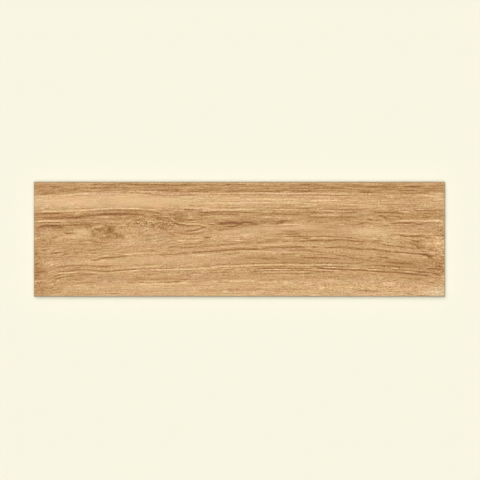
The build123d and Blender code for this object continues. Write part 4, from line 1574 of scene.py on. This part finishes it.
run_edge = add_node(tree, "ShaderNodeTexNoise", Vector=place, Scale=RUN_SCALE, Detail=RUN_DETAIL)
run_height = add_node(tree, "ShaderNodeMath", {"operation": "MULTIPLY_ADD"},
                      i0=run_edge.outputs["Fac"], i1=RUN_WAVER * MM, i2=height)
run_mask = map_range(tree, run_height.outputs[0], RUN_START * MM, RUN_FULL * MM)
tree.links.new(mix_colours(tree, run_mask, washed, RUN_COLOUR), shader.inputs["Base Color"])
body_rough = map_range(tree, run_mask, 0.0, 1.0, BODY_ROUGH, GLAZE_ROUGH)
tree.links.new(body_rough, shader.inputs["Roughness"])
body_bump = add_node(tree, "ShaderNodeBump", Strength=BODY_BUMP_STRENGTH, Distance=BODY_BUMP_DEPTH * MM,
                     Height=body_mottle)
tree.links.new(body_bump.outputs["Normal"], shader.inputs["Normal"])
plank_mesh.materials.append(body)
print("fired_body ready")

# %% [markdown]
# ## Floor, light and camera
#
# The plank lies on a pale cream floor. Most of the light is the room's own and comes from overhead,
# with a soft lamp at one side. Together they are as bright as a white sheet, so a colour renders as it
# is written. The camera looks straight down, from far enough away that the plank's sides don't show.

# %% Floor
FLOOR_COLOUR = screen_colour(249, 246, 226)
FLOOR_HALF = 6.0

floor_mesh = bpy.data.meshes.new("floor")
floor_corners = [(-FLOOR_HALF, -FLOOR_HALF, 0), (FLOOR_HALF, -FLOOR_HALF, 0),
                 (FLOOR_HALF, FLOOR_HALF, 0), (-FLOOR_HALF, FLOOR_HALF, 0)]
floor_mesh.from_pydata(floor_corners, [], [(0, 1, 2, 3)])
floor = bpy.data.objects.new("floor", floor_mesh)
bpy.context.scene.collection.objects.link(floor)
floor_paint, tree, shader = new_material("floor_paint")
shader.inputs["Base Color"].default_value = FLOOR_COLOUR
shader.inputs["Roughness"].default_value = 1.0
shader.inputs["Specular IOR Level"].default_value = 0.0
floor_mesh.materials.append(floor_paint)
print(f"floor {2 * FLOOR_HALF:.0f} m wide")

# %% The room's light
# The room's share of the light on a level surface, and how closely it is gathered overhead
ROOM_SHARE, OVERHEAD_POWER = 0.9, 6.0
# Light that falls off as a power of its height gives a level surface 2 / (power + 2) of its strength
overhead_strength = ROOM_SHARE * (OVERHEAD_POWER + 2) / 2

world = bpy.data.worlds.new("room")
bpy.context.scene.world = world
world.use_nodes = True
tree = world.node_tree
tree.nodes.clear()
rays = add_node(tree, "ShaderNodeLightPath").outputs
seen = math_node(tree, "MAXIMUM", rays["Is Camera Ray"], rays["Is Glossy Ray"])
seen = math_node(tree, "MAXIMUM", seen, rays["Is Transmission Ray"])
direction = add_node(tree, "ShaderNodeTexCoord").outputs["Generated"]
upwards = add_node(tree, "ShaderNodeSeparateXYZ", Vector=direction).outputs["Z"]
overhead = math_node(tree, "POWER", math_node(tree, "MAXIMUM", upwards, 0.0), OVERHEAD_POWER)
room_level = math_node(tree, "MULTIPLY", overhead, overhead_strength)
room_light = add_node(tree, "ShaderNodeBackground", Color=(1, 1, 1, 1), Strength=room_level)
room_wall = add_node(tree, "ShaderNodeBackground", Color=FLOOR_COLOUR, Strength=1.0)
room_mix = add_node(tree, "ShaderNodeMixShader", i0=seen, i1=room_light.outputs[0], i2=room_wall.outputs[0])
add_node(tree, "ShaderNodeOutputWorld", Surface=room_mix.outputs[0])
print(f"the room gives {ROOM_SHARE:.0%} of the light")

# %% Lamp and camera
LAMP_TILT, LAMP_TURN, LAMP_ANGLE = math.radians(38.0), math.radians(35.0), math.radians(30.0)
# The picture: its size in pixels, the length of one pixel on the face, and where the plank's middle is
PIXELS = 480
MM_PER_PIXEL = 1.518
MIDDLE_PIXEL_X, MIDDLE_PIXEL_Y = 239.57, 239.34
LENS_MM, SENSOR_MM = 85.0, 36.0

lamp = bpy.data.lights.new("soft_lamp", "SUN")
lamp.energy = (1 - ROOM_SHARE) * math.pi / math.cos(LAMP_TILT)
lamp.angle = LAMP_ANGLE
lamp_object = bpy.data.objects.new("soft_lamp", lamp)
lamp_object.rotation_euler = (-LAMP_TILT, 0.0, LAMP_TURN)
bpy.context.scene.collection.objects.link(lamp_object)

camera = bpy.data.cameras.new("camera")
camera.lens = LENS_MM
camera.sensor_width = SENSOR_MM
camera_object = bpy.data.objects.new("camera", camera)
frame_middle = PIXELS / 2
camera_object.location = (-(MIDDLE_PIXEL_X - frame_middle) * MM_PER_PIXEL * MM,
                          (MIDDLE_PIXEL_Y - frame_middle) * MM_PER_PIXEL * MM,
                          (thickness + PIXELS * MM_PER_PIXEL * LENS_MM / SENSOR_MM) * MM)
bpy.context.scene.collection.objects.link(camera_object)
bpy.context.scene.camera = camera_object
bpy.context.scene.view_settings.view_transform = "Standard"
print(f"camera {camera_object.location.z:.3f} m above the floor")
